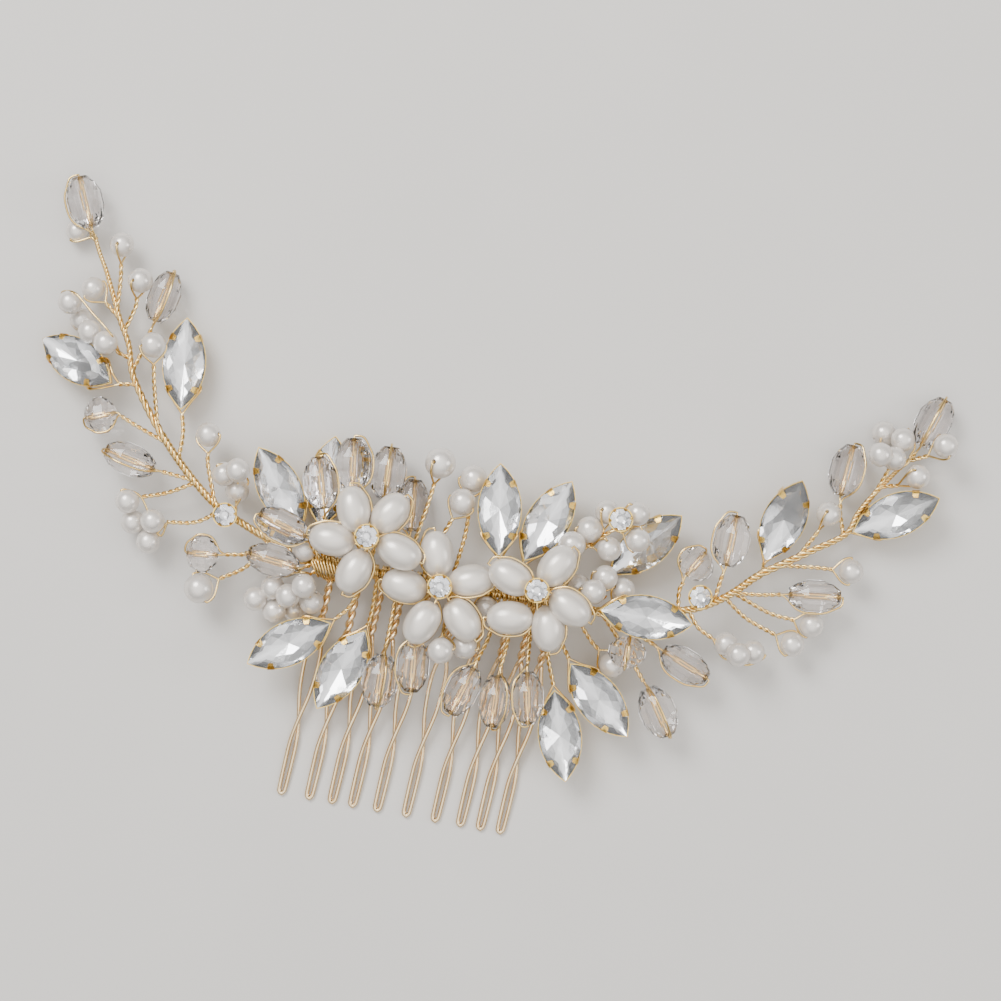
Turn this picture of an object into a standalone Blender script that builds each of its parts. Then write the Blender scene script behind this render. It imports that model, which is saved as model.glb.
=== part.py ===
"""Bridal hair comb: a ten-tooth wire comb that carries a hand-wired vine.

The comb lies on its back.  +X runs along the comb's rail, the teeth point to -Y
and +Z points out of the front, towards whoever looks at the flowers.  The origin
is the middle of the underside of the whole piece.  All lengths in this file are
in millimetres until MM turns them into metres.
"""

import bpy
import bmesh
from math import cos, pi, radians, sin, sqrt
from mathutils import Euler, Matrix, Vector

MM = 0.001
WELD = 0.000002
SCREW_MERGE = 0.00001

# Wire comb
RAIL_Y = -8.0
RAIL_Z = 5.3
TIP_Y = -47.0
TIP_Z = 0.36
TOOTH_LEAN = -2.2
TOOTH_CURL = 1.6
TOOTH_TOPS_X = (-21.0, -16.4, -12.6, -9.2, -5.1, -0.3, 4.5, 8.7, 12.0, 15.3)
COMB_WIRE_RADIUS = 0.36
SHANK_HALF_GAP = 0.45
CROSSING_LIFT = 0.45
RAIL_OVERHANG = 2.2
RAIL_BEND = 0.5
# Along one leg: share of the way down, spread in SHANK_HALF_GAPs, lift in CROSSING_LIFTs
LEG_STATIONS = ((0.02, 1.0, 0.0), (0.28, 1.0, 0.0), (0.36, 2.2, 0.0), (0.43, 2.55, 0.0),
                (0.55, 1.9, 0.4), (0.67, 0.0, 1.0), (0.76, -1.1, 0.4), (0.965, -1.22, 0.0))

# Vine wire
STEM_RADIUS = 0.65
TWIG_RADIUS = 0.32
BINDING_WIRE_RADIUS = 0.22
BINDING_PITCH = 0.65
BINDING_MIDDLE_Z = 6.05
BINDING_HALF_WIDTH = 1.05
BINDING_HALF_HEIGHT = 1.75
BINDING_POINTS_PER_TURN = 8
LEFT_BINDING_X = TOOTH_TOPS_X[0] + 1.2
RIGHT_BINDING_X = TOOTH_TOPS_X[-2] + 1.5
LEFT_HINGE = (-36.5, -4.2, 6.0)
RIGHT_HINGE = (32.5, -6.3, 6.0)
HINGE_HALF_GAP = 0.25

# Findings
PEARL = 4.0
CLUSTER_PEARL = 4.1
PETAL_LENGTH = 7.6
PETAL_WIDTH = 5.6
PETAL_RING_RADIUS = 3.3
PETAL_RING_WIRE = 0.35
CRYSTAL_LENGTH = 8.4
WIDE_CRYSTAL = 5.9
SLIM_CRYSTAL = 5.2
RONDELLE_LENGTH = 4.9
RONDELLE_WIDTH = 6.0
BORE_RADIUS = 0.6
BEAD_END_SHARE = 0.24
BEAD_BELT_SHARE = 0.17
BEAD_STOP_RADIUS = 0.55
BEAD_STOP_GAP = 0.3
STONE_HALF_LENGTH = 7.2
STONE_HALF_WIDTH = 3.2
# Up through a marquise stone: height, and share of its outline
STONE_LEVELS = ((-0.5, 0.8), (-0.15, 1.0), (0.25, 1.0), (1.5, 0.66))
SEAT_HALF_LENGTH = 7.4
SEAT_HALF_WIDTH = 3.6
SEAT_BOTTOM = -1.3
SEAT_TOP = -0.65
SEAT_ENTRY_SHARE = 0.75
CLAW_STATION = 4.3
CLAW_RADIUS = 0.25
# Up along a claw: distance outside the stone's edge, and height
CLAW_BENDS = ((0.45, -1.0), (0.45, 0.3), (-0.25, 1.15))
CUP_RADIUS = 2.0
CUP_INNER_RADIUS = 1.65
CUP_LIP = 0.15
CUP_FLOOR = -0.6
CUP_BOTTOM = -1.1
# Down the outside of a chaton stone: radius, and height
CHATON_PROFILE = ((0.0, 0.95), (0.95, 0.95), (1.5, 0.35), (1.5, 0.0), (0.9, -0.35), (0.0, -0.35))

# Smoothness of the plain solids
SMOOTH_ANGLE = radians(40)
ROUND_STEPS = 10
CRYSTAL_FACETS = 8
OUTLINE_STEPS = 6
TWIG_STEPS = 1
RING_STEPS = 12


def clear_scene():
    for old in list(bpy.data.objects):
        bpy.data.objects.remove(old, do_unlink=True)


def new_collection(name):
    collection = bpy.data.collections.new(name)
    bpy.context.scene.collection.children.link(collection)
    return collection


def material(name, colour, roughness, metallic):
    made = bpy.data.materials.new(name)
    made.use_nodes = True
    shader = made.node_tree.nodes["Principled BSDF"]
    shader.inputs["Base Color"].default_value = (*colour, 1.0)
    shader.inputs["Roughness"].default_value = roughness
    shader.inputs["Metallic"].default_value = metallic
    made.diffuse_color = (*colour, 1.0)
    return made


clear_scene()
PARTS = new_collection("decorative_hair_comb")
JOINED = new_collection("shapes_joined_into_the_wires")
FINISH = {
    "vine_wire": ((0.72, 0.50, 0.24), 0.28, 1.0),
    "comb_wire": ((0.76, 0.60, 0.42), 0.25, 1.0),
    "pearl": ((0.86, 0.82, 0.74), 0.25, 0.0),
    "crystal": ((0.85, 0.85, 0.88), 0.05, 0.0),
    "rhinestone": ((0.70, 0.71, 0.74), 0.08, 0.3),
}


def to_metres(point):
    return Vector(point) * MM


def keep(piece, name, finish, parent=None):
    """Put a finished piece in the parts collection under its own name."""
    piece.name = name
    piece.data.name = name
    colour, roughness, metallic = FINISH[finish]
    piece.data.materials.clear()
    piece.data.materials.append(material(name + "_" + finish, colour, roughness, metallic))
    piece.data.shade_smooth()
    piece.data.set_sharp_from_angle(angle=SMOOTH_ANGLE)
    PARTS.objects.link(piece)
    if parent is not None:
        piece.parent = parent
        piece.matrix_parent_inverse = parent.matrix_world.inverted()
    return piece


def mesh_object(bm, name="shape"):
    bmesh.ops.recalc_face_normals(bm, faces=bm.faces)
    mesh = bpy.data.meshes.new(name)
    bm.to_mesh(mesh)
    bm.free()
    return bpy.data.objects.new(name, mesh)


def hinge_empty(name, point):
    empty = bpy.data.objects.new(name, None)
    empty.location = to_metres(point)
    PARTS.objects.link(empty)
    bpy.context.view_layer.update()
    return empty


def smooth_path(points, steps=3):
    """Catmull-Rom curve through the points, the ends repeated."""
    knots = [Vector(p) for p in points]
    knots = [knots[0]] + knots + [knots[-1]]
    path = []
    for before, start, end, after in zip(knots, knots[1:], knots[2:], knots[3:]):
        for step in range(steps):
            t = step / steps
            path.append(0.5 * (2 * start + (end - before) * t
                               + (2 * before - 5 * start + 4 * end - after) * t ** 2
                               + (3 * start - before - 3 * end + after) * t ** 3))
    path.append(knots[-1])
    return path


def tube(points, radius, side_steps=0):
    """A round wire along the points, as a closed mesh; it has 4 + 2 * side_steps sides."""
    curve = bpy.data.curves.new("wire", "CURVE")
    curve.dimensions = "3D"
    curve.bevel_depth = radius * MM
    curve.bevel_resolution = side_steps
    curve.use_fill_caps = True
    spline = curve.splines.new("POLY")
    spline.points.add(len(points) - 1)
    for knot, point in zip(spline.points, points):
        knot.co = (*to_metres(point), 1.0)
    guide = bpy.data.objects.new("wire_path", curve)
    JOINED.objects.link(guide)
    depsgraph = bpy.context.evaluated_depsgraph_get()
    mesh = bpy.data.meshes.new_from_object(guide.evaluated_get(depsgraph))
    world = guide.matrix_world.copy()
    bpy.data.objects.remove(guide)
    bpy.data.curves.remove(curve)
    bm = bmesh.new()
    bm.from_mesh(mesh)
    bpy.data.meshes.remove(mesh)
    bmesh.ops.remove_doubles(bm, verts=bm.verts, dist=WELD)
    piece = mesh_object(bm)
    piece.matrix_world = world
    return piece


def ball(centre, diameter, stretch=1.0, heading=0.0, rings=5):
    """A ball, or with stretch an oval bead whose long axis points along heading."""
    bm = bmesh.new()
    bmesh.ops.create_uvsphere(bm, u_segments=rings + 3, v_segments=rings, radius=diameter / 2 * MM)
    bmesh.ops.scale(bm, verts=bm.verts, vec=(stretch, 1.0, 1.0))
    bmesh.ops.rotate(bm, verts=bm.verts, matrix=Matrix.Rotation(radians(heading), 3, "Z"))
    bmesh.ops.translate(bm, verts=bm.verts, vec=to_metres(centre))
    return mesh_object(bm)


def turned(profile, steps, closed=False):
    """A profile in (radius, height), turned about Z with a Screw modifier."""
    bm = bmesh.new()
    corners = [bm.verts.new((r * MM, 0.0, z * MM)) for r, z in profile]
    for first, second in zip(corners, corners[1:]):
        bm.edges.new((first, second))
    if closed:
        bm.edges.new((corners[-1], corners[0]))
    mesh = bpy.data.meshes.new("profile")
    bm.to_mesh(mesh)
    bm.free()
    piece = bpy.data.objects.new("turned", mesh)
    screw = piece.modifiers.new("Turn", "SCREW")
    screw.axis = "Z"
    screw.steps = steps
    screw.render_steps = steps
    screw.use_merge_vertices = True
    screw.merge_threshold = SCREW_MERGE
    return piece


def vesica_half_width(along, half_length, half_width):
    """Half the width of a pointed oval, drawn by two arcs, at a distance from its middle."""
    arc = (half_length ** 2 + half_width ** 2) / (2 * half_width)
    return sqrt(arc ** 2 - along ** 2) - (arc - half_width)


def vesica_outline(half_length, half_width):
    stations = [-half_length * cos(pi * i / OUTLINE_STEPS) for i in range(OUTLINE_STEPS + 1)]
    upper = [(x, vesica_half_width(x, half_length, half_width)) for x in stations]
    return upper[:-1] + [(half_length, 0.0)] + [(x, -y) for x, y in reversed(upper[1:-1])]


def stepped_solid(outline, levels):
    """An outline drawn out through levels of (height, scale), each one an extrusion."""
    bm = bmesh.new()
    height, scale = levels[0]
    face = bm.faces.new([bm.verts.new((x * scale * MM, y * scale * MM, height * MM))
                         for x, y in outline])
    bottom = face
    for height, next_scale in levels[1:]:
        drawn = bmesh.ops.extrude_face_region(bm, geom=[face])["geom"]
        if face is not bottom:
            bmesh.ops.delete(bm, geom=[face], context="FACES_ONLY")
        face = next(part for part in drawn if isinstance(part, bmesh.types.BMFace))
        for corner in face.verts:
            corner.co.x *= next_scale / scale
            corner.co.y *= next_scale / scale
            corner.co.z = height * MM
        scale = next_scale
    return mesh_object(bm)


def finding_matrix(centre, heading, tilt):
    """Where a finding sits: its X points along heading and rises by tilt."""
    turn = Euler((0.0, -radians(tilt), radians(heading)))
    return Matrix.Translation(to_metres(centre)) @ turn.to_matrix().to_4x4()


def direction(heading, tilt=0.0):
    return Vector((cos(radians(heading)) * cos(radians(tilt)),
                   sin(radians(heading)) * cos(radians(tilt)),
                   sin(radians(tilt))))


class Spray:
    """One bundle of vine wire with everything that is wired to it."""

    def __init__(self, name, stem_points, parent=None):
        self.name = name
        self.parent = parent
        self.stem = tube(smooth_path(stem_points, 2), STEM_RADIUS, 1)
        self.joined = bpy.data.collections.new(name + "_joined")
        JOINED.children.link(self.joined)

    def join(self, piece):
        piece.hide_render = True
        piece.display_type = "WIRE"
        self.joined.objects.link(piece)

    def twig(self, *points):
        self.join(tube(smooth_path(points, TWIG_STEPS), TWIG_RADIUS))

    def pearl(self, centre, diameter, *route):
        """A single pearl, made in one with its wire."""
        self.twig(*route, centre)
        self.join(ball(centre, diameter))

    def crystal(self, name, centre, heading, width, *route, length=CRYSTAL_LENGTH):
        """A bored crystal that turns freely on its wire between two stops."""
        along = direction(heading)
        middle = Vector(centre)
        near = middle - along * (length / 2 + BEAD_STOP_GAP)
        stop = middle + along * (length / 2 + BEAD_STOP_GAP + BEAD_STOP_RADIUS)
        self.join(tube(smooth_path((*route, near), TWIG_STEPS) + [stop], TWIG_RADIUS))
        self.join(ball(stop, 2 * BEAD_STOP_RADIUS, rings=3))
        end_radius = BEAD_END_SHARE * width
        belt = BEAD_BELT_SHARE * length
        profile = ((end_radius, length / 2), (width / 2, belt), (width / 2, -belt),
                   (end_radius, -length / 2), (BORE_RADIUS, -length / 2), (BORE_RADIUS, length / 2))
        bead = turned(profile, CRYSTAL_FACETS, closed=True)
        bead.location = middle * MM
        bead.rotation_euler = (0.0, pi / 2, radians(heading))
        keep(bead, name, "crystal", self.parent)

    def rondelle(self, name, centre, heading, *route):
        self.crystal(name, centre, heading, RONDELLE_WIDTH, *route, length=RONDELLE_LENGTH)

    def marquise(self, name, centre, heading, tilt, *route):
        """A pointed oval stone in a flat-backed setting with four claws."""
        place = finding_matrix(centre, heading, tilt)
        seat_height = (SEAT_BOTTOM + SEAT_TOP) / 2
        entry = (place @ to_metres((-SEAT_ENTRY_SHARE * SEAT_HALF_LENGTH, 0.0, seat_height))) / MM
        self.twig(*route, entry)
        seat = stepped_solid(vesica_outline(SEAT_HALF_LENGTH, SEAT_HALF_WIDTH),
                             ((SEAT_BOTTOM, 1.0), (SEAT_TOP, 1.0)))
        seat.matrix_world = place
        self.join(seat)
        edge = vesica_half_width(CLAW_STATION, STONE_HALF_LENGTH, STONE_HALF_WIDTH)
        for end in (-1, 1):
            for side in (-1, 1):
                claw = tube([(end * CLAW_STATION, side * (edge + out), up) for out, up in CLAW_BENDS],
                            CLAW_RADIUS)
                claw.matrix_world = place
                self.join(claw)
        stone = stepped_solid(vesica_outline(STONE_HALF_LENGTH, STONE_HALF_WIDTH), STONE_LEVELS)
        stone.matrix_world = place
        keep(stone, name, "rhinestone", self.parent)

    def chaton(self, name, centre, *route):
        """A round stone in a turned cup."""
        floor_middle = Vector(centre) + Vector((0.0, 0.0, (CUP_FLOOR + CUP_BOTTOM) / 2))
        self.twig(*route, floor_middle)
        cup = turned(((0.0, CUP_FLOOR), (CUP_INNER_RADIUS, CUP_FLOOR), (CUP_INNER_RADIUS, CUP_LIP),
                      (CUP_RADIUS, CUP_LIP), (CUP_RADIUS, CUP_BOTTOM), (0.0, CUP_BOTTOM)), ROUND_STEPS)
        cup.location = to_metres(centre)
        self.join(cup)
        stone = turned(CHATON_PROFILE, ROUND_STEPS)
        stone.location = to_metres(centre)
        keep(stone, name, "rhinestone", self.parent)

    def finish(self):
        union = self.stem.modifiers.new("Join", "BOOLEAN")
        union.operation = "UNION"
        union.operand_type = "COLLECTION"
        union.collection = self.joined
        union.solver = "EXACT"
        keep(self.stem, self.name, "vine_wire", self.parent)


def fused(name, pieces, finish, parent=None):
    """Touching pieces made into one body with a Boolean union."""
    touching = bpy.data.collections.new(name + "_joined")
    JOINED.children.link(touching)
    for piece in pieces[1:]:
        piece.hide_render = True
        piece.display_type = "WIRE"
        touching.objects.link(piece)
    union = pieces[0].modifiers.new("Join", "BOOLEAN")
    union.operation = "UNION"
    union.operand_type = "COLLECTION"
    union.collection = touching
    union.solver = "EXACT"
    keep(pieces[0], name, finish, parent)


def pearl_cluster(name, centres, parent=None):
    fused(name, [ball(centre, CLUSTER_PEARL) for centre in centres], "pearl", parent)


def flower(name, centre, petals):
    """Five oval pearls threaded on one small ring round the flower's middle."""
    section = [(PETAL_RING_RADIUS + PETAL_RING_WIRE * cos(pi * i / 2),
                PETAL_RING_WIRE * sin(-pi * i / 2)) for i in range(4)]
    ring = turned(section, RING_STEPS, closed=True)
    ring.location = to_metres(centre)
    pieces = [ring]
    for x, y, z, heading in petals:
        pieces.append(ball((x, y, z), PETAL_WIDTH, PETAL_LENGTH / PETAL_WIDTH, heading))
    fused(name, pieces, "pearl")


def tooth_height(y):
    """The comb is curved: the teeth drop away from the rail and flatten at their tips."""
    return TIP_Z + (RAIL_Z - TIP_Z) * ((y - TIP_Y) / (RAIL_Y - TIP_Y)) ** TOOTH_CURL


def tooth_leg(top_x, side):
    """One leg of a tooth from the rail to just above the tip; the legs cross once."""
    leg = []
    for down, spread, lift in LEG_STATIONS:
        y = RAIL_Y + down * (TIP_Y - RAIL_Y)
        x = top_x + TOOTH_LEAN * down + side * spread * SHANK_HALF_GAP
        leg.append((x, y, tooth_height(y) + side * lift * CROSSING_LIFT))
    return leg


def comb():
    """The whole comb is one wire, bent back and forth into ten teeth."""
    path = [(TOOTH_TOPS_X[0] - RAIL_OVERHANG, RAIL_Y, RAIL_Z)]
    for top_x in TOOTH_TOPS_X:
        path.append((top_x - SHANK_HALF_GAP - RAIL_BEND, RAIL_Y, RAIL_Z))
        path.extend(tooth_leg(top_x, -1))
        path.append((top_x + TOOTH_LEAN, TIP_Y + COMB_WIRE_RADIUS, TIP_Z))
        path.extend(reversed(tooth_leg(top_x, 1)))
        path.append((top_x + SHANK_HALF_GAP + RAIL_BEND, RAIL_Y, RAIL_Z))
    path.append((TOOTH_TOPS_X[-1] + RAIL_OVERHANG, RAIL_Y, RAIL_Z))
    keep(tube(path, COMB_WIRE_RADIUS, 1), "comb_wire", "comb_wire")


def binding(name, from_x, turns):
    """Thin wire wound round the comb's rail and the vine's stem together."""
    path = []
    for i in range(turns * BINDING_POINTS_PER_TURN + 1):
        angle = 2 * pi * i / BINDING_POINTS_PER_TURN
        path.append((from_x + BINDING_PITCH * i / BINDING_POINTS_PER_TURN,
                     RAIL_Y + BINDING_HALF_WIDTH * cos(angle),
                     BINDING_MIDDLE_Z + BINDING_HALF_HEIGHT * sin(angle)))
    keep(tube(path, BINDING_WIRE_RADIUS), name, "vine_wire")


def left_arm():
    hinge = hinge_empty("left_arm_hinge", LEFT_HINGE)
    start = Vector(LEFT_HINGE) - Vector((HINGE_HALF_GAP, 0.0, 0.0))
    arm = Spray("left_arm_wire", (
        (-68.6, 37.2, 3.4), (-67.4, 34.8, 3.4), (-65.5, 31.5, 3.5), (-62.3, 25.0, 4.0),
        (-60.0, 21.0, 4.5), (-58.5, 16.5, 5.0), (-55.0, 11.3, 5.5), (-50.0, 5.5, 6.0),
        (-45.0, 0.8, 6.2), (-41.0, -2.2, 6.1), start), hinge)
    arm.crystal("left_tip_crystal", (-71.0, 42.5, 4.4), 114, WIDE_CRYSTAL, (-68.4, 36.9, 3.4))
    arm.crystal("left_upper_crystal", (-56.0, 29.7, 3.3), 79, SLIM_CRYSTAL,
                (-58.6, 17.0, 4.9), (-57.6, 21.0, 4.0))
    arm.crystal("left_lower_crystal", (-56.5, 2.8, 5.0), 168, SLIM_CRYSTAL, (-45.5, 1.3, 6.2))
    arm.rondelle("left_round_crystal", (-62.5, 9.0, 4.2), 200, (-50.8, 6.4, 5.9), (-56.0, 8.2, 4.8))
    arm.marquise("left_marquise_stone_upper", (-67.7, 17.0, 4.5), 158, -20, (-57.6, 14.9, 5.1))
    arm.marquise("left_marquise_stone_inner", (-50.6, 19.6, 4.5), 96, 0,
                 (-48.6, 4.2, 6.0), (-48.8, 8.5, 4.8))
    arm.chaton("left_chaton_stone", (-39.4, -3.2, 8.8), (-39.4, -3.1, 6.1))
    arm.pearl((-71.7, 37.2, 2.4), 3.6, (-68.5, 37.0, 3.3))
    arm.pearl((-64.0, 36.8, 4.3), 4.0, (-63.0, 26.5, 3.9), (-63.2, 31.0, 4.3))
    arm.pearl((-59.7, 31.5, 6.5), 4.0, (-61.2, 23.0, 4.2), (-59.9, 27.0, 5.6))
    arm.pearl((-67.4, 29.0, 4.0), 3.8, (-62.3, 25.0, 4.0))
    arm.pearl((-55.7, 21.6, 7.6), 4.1, (-53.0, 9.0, 5.7), (-54.4, 15.0, 7.0))
    arm.pearl((-44.6, 9.0, 6.0), PEARL, (-41.6, -1.8, 6.1), (-43.7, 4.0, 6.4))
    arm.twig((-59.3, 18.8, 4.7), (-61.7, 19.6, 5.4))
    arm.twig((-38.2, -3.7, 6.0), (-38.2, -1.75, 6.0))
    arm.twig((-45.3, 1.0, 6.1), (-49.5, -1.4, 5.6), (-53.8, -2.9, 5.0))
    arm.twig((-40.5, -2.6, 6.1), (-44.0, -5.2, 5.6), (-48.7, -6.1, 5.1))
    arm.finish()
    pearl_cluster("left_pearl_strand", ((-70.4, 26.1, 5.0), (-68.5, 23.7, 5.0),
                                        (-66.4, 22.0, 5.8), (-63.3, 20.6, 6.1)), hinge)
    pearl_cluster("left_pearl_trio", ((-40.9, 3.2, 6.0), (-38.6, 4.2, 7.8),
                                      (-38.6, 0.9, 6.0)), hinge)
    pearl_cluster("left_pearl_quartet", ((-55.6, -3.9, 5.0), (-54.4, -7.1, 5.0),
                                         (-51.0, -6.3, 5.0), (-51.3, -9.8, 5.0)), hinge)


def right_arm():
    hinge = hinge_empty("right_arm_hinge", RIGHT_HINGE)
    start = Vector(RIGHT_HINGE) + Vector((HINGE_HALF_GAP, 0.0, 0.0))
    arm = Spray("right_arm_wire", (
        start, (37.9, -4.6, 6.1), (42.4, -1.8, 6.1), (46.6, 2.2, 6.0), (50.5, 5.0, 5.8),
        (54.9, 8.0, 5.5), (59.6, 11.4, 5.0), (60.9, 14.9, 4.7), (62.9, 18.4, 4.4),
        (65.8, 22.6, 3.9), (68.4, 25.8, 3.5)), hinge)
    arm.crystal("right_tip_crystal", (70.6, 31.7, 3.2), 72, WIDE_CRYSTAL, (67.8, 25.0, 3.6))
    arm.crystal("right_outer_crystal", (58.2, 21.6, 3.4), 85, WIDE_CRYSTAL,
                (59.2, 11.2, 5.0), (58.2, 14.5, 4.2))
    arm.crystal("right_upper_crystal", (41.5, 7.1, 6.0), 88, WIDE_CRYSTAL,
                (40.4, -3.1, 6.1), (40.9, 0.5, 6.0))
    arm.crystal("right_lower_crystal", (56.2, 0.7, 6.1), 7, SLIM_CRYSTAL,
                (43.0, -1.2, 6.1), (47.5, -0.7, 6.0))
    arm.rondelle("right_round_crystal", (36.5, 2.4, 6.0), 60, (35.0, -5.6, 6.0), (34.6, -2.5, 6.0))
    arm.marquise("right_marquise_stone_inner", (49.2, 11.9, 6.2), 77, 20,
                 (47.4, 3.0, 5.7), (47.6, 4.4, 2.9))
    arm.marquise("right_marquise_stone_outer", (67.0, 15.9, 5.6), 32, 12,
                 (59.6, 11.4, 4.6), (60.2, 11.8, 3.1))
    arm.chaton("right_chaton_stone", (37.9, -2.7, 9.0), (37.9, -4.4, 6.2), (37.9, -3.0, 7.2))
    arm.pearl((56.3, 14.1, 5.0), PEARL, (52.5, 6.4, 5.7), (54.8, 10.5, 5.2))
    arm.pearl((69.3, 22.6, 5.5), PEARL, (63.9, 20.0, 4.2), (66.4, 20.6, 5.0))
    arm.pearl((72.6, 28.2, 7.2), PEARL, (67.8, 25.0, 3.7), (70.3, 26.2, 5.6))
    arm.pearl((61.5, 5.6, 5.0), PEARL, (49.8, 4.5, 5.8), (55.5, 5.2, 5.2))
    arm.pearl((56.8, -4.1, 4.4), PEARL, (43.2, -1.1, 6.0), (49.5, -3.3, 5.0))
    arm.pearl((54.2, -7.7, 5.0), PEARL, (42.0, -2.1, 6.1), (46.0, -4.8, 5.6))
    arm.twig((36.6, -5.1, 6.1), (38.6, -7.6, 6.0), (41.3, -9.0, 6.0))
    arm.twig((62.9, 18.4, 4.4), (63.9, 21.0, 4.8), (64.5, 22.9, 5.2))
    arm.finish()
    pearl_cluster("right_pearl_quartet", ((63.1, 28.7, 4.2), (66.0, 28.1, 5.0),
                                          (62.4, 24.9, 5.9), (65.0, 24.8, 5.8)), hinge)
    pearl_cluster("right_pearl_trio", ((43.6, -9.5, 6.0), (45.5, -10.7, 7.0),
                                       (48.1, -10.0, 6.0)), hinge)


def centre_wires():
    """The stem bound to the rail, with every twig that leaves it above and below."""
    left_end = Vector(LEFT_HINGE) + Vector((HINGE_HALF_GAP, 0.0, 0.0))
    right_end = Vector(RIGHT_HINGE) - Vector((HINGE_HALF_GAP, 0.0, 0.0))
    spray = Spray("centre_wire", (
        left_end, (-32.0, -6.0, 5.7), (-28.0, -7.3, 6.0), (-24.0, -8.0, 6.6), (-12.0, -8.0, 6.6),
        (0.0, -8.0, 6.6), (14.0, -8.0, 6.6), (20.0, -8.0, 6.3), (26.0, -7.4, 6.1), right_end))
    above_rail(spray)
    flowers(spray)
    fringe(spray)
    spray.finish()


def above_rail(spray):
    spray.marquise("fan_marquise_stone_left", (-31.8, 2.5, 5.4), 127, 0, (-26.8, -7.5, 6.1))
    spray.marquise("fan_marquise_stone_low", (-24.4, 5.0, 2.8), 91, 0,
                   (-21.7, -8.0, 6.4), (-22.0, -5.0, 3.4))
    spray.marquise("crown_marquise_stone_left", (3.8, 5.4, 9.8), 99, 0,
                   (6.5, -8.0, 6.6), (6.4, -4.5, 7.0))
    spray.marquise("crown_marquise_stone_right", (11.8, 5.0, 6.7), 69, 0,
                   (9.7, -8.0, 6.5), (9.4, -5.0, 5.8))
    spray.marquise("crown_marquise_stone_outer", (28.2, 4.1, 5.2), 50, 10,
                   (18.7, -8.0, 6.2), (20.5, -5.0, 3.6))
    spray.marquise("side_marquise_stone", (29.8, -7.3, 11.4), 1, 0,
                   (20.0, -8.0, 6.3), (21.3, -8.3, 9.3))
    spray.chaton("crown_chaton_stone", (23.0, 7.3, 12.3),
                 (16.6, -8.0, 6.6), (16.2, -2.0, 6.4), (18.2, 1.6, 6.6), (22.6, 5.8, 8.2))
    spray.crystal("fan_crystal_1", (-24.9, 4.6, 10.8), 106, WIDE_CRYSTAL,
                  (-22.9, -7.9, 6.8), (-23.0, -5.0, 7.6))
    spray.crystal("fan_crystal_2", (-20.6, 8.4, 8.2), 98, WIDE_CRYSTAL,
                  (-16.6, -8.0, 6.7), (-17.8, -3.5, 6.9), (-19.8, 1.5, 7.6))
    spray.crystal("fan_crystal_3", (-15.0, 8.1, 5.5), 92, WIDE_CRYSTAL,
                  (-15.3, -8.0, 6.3), (-14.9, -2.0, 5.6))
    spray.crystal("fan_crystal_4", (-10.2, 3.6, 3.2), 95, SLIM_CRYSTAL,
                  (-9.8, -8.0, 6.2), (-9.7, -4.0, 3.8))
    spray.crystal("fan_crystal_5", (-29.8, -3.2, 10.5), 164, SLIM_CRYSTAL,
                  (-23.4, -7.9, 6.9), (-23.6, -7.2, 8.6))
    spray.crystal("fan_crystal_6", (-30.5, -9.0, 8.7), 173, SLIM_CRYSTAL,
                  (-23.8, -8.0, 6.7), (-24.7, -8.8, 8.0))
    spray.rondelle("knot_round_crystal", (-42.1, -10.1, 6.0), 186,
                   (-31.0, -6.4, 5.7), (-35.0, -8.8, 5.4))
    spray.pearl((-41.7, -15.7, 6.0), 4.8, (-32.0, -6.0, 5.7), (-34.8, -10.8, 5.0))
    spray.pearl((-6.9, 11.1, 8.0), 5.0, (-8.5, -8.0, 6.6), (-8.8, -3.0, 6.9), (-7.6, 5.0, 7.6))
    spray.pearl((-2.3, 5.6, 7.9), 4.3, (-6.5, -8.0, 6.6), (-5.5, -3.0, 6.6))
    spray.pearl((-1.2, 9.6, 6.2), 4.4, (-2.0, -8.0, 6.3), (-1.0, 0.0, 5.4))
    spray.pearl((16.2, 1.9, 9.4), 4.4, (16.6, -1.5, 6.4))
    spray.pearl((18.6, 4.8, 7.3), 4.3, (18.2, 1.6, 6.6))
    spray.pearl((20.9, 8.1, 6.7), CLUSTER_PEARL, (20.8, 4.2, 7.3))
    spray.pearl((25.7, 8.7, 9.0), CLUSTER_PEARL, (22.6, 5.9, 8.4))
    spray.pearl((26.4, 4.5, 10.5), CLUSTER_PEARL, (22.6, 5.7, 8.4))
    spray.pearl((22.2, 2.3, 8.6), CLUSTER_PEARL, (18.8, 2.2, 6.8))
    spray.pearl((22.4, -2.3, 8.6), PEARL, (19.5, -8.0, 6.3), (20.8, -5.2, 7.6))
    spray.pearl((20.8, -4.8, 11.7), PEARL, (19.3, -8.0, 6.4), (19.8, -7.4, 9.0))
    spray.pearl((18.4, -4.5, 7.6), PEARL, (17.6, -8.0, 6.6))
    spray.pearl((25.6, -3.8, 6.6), PEARL, (24.5, -7.6, 6.1))
    spray.twig((-22.7, -8.0, 6.7), (-23.6, -9.5, 7.4), (-24.2, -10.1, 7.8))
    pearl_cluster("knot_pearl_cluster", (
        (-32.5, -15.7, 6.0), (-30.0, -13.4, 6.1), (-29.2, -17.1, 5.8), (-27.2, -14.2, 7.9),
        (-24.8, -12.1, 8.5), (-23.4, -14.6, 7.0), (-26.1, -16.6, 5.0)))


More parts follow.
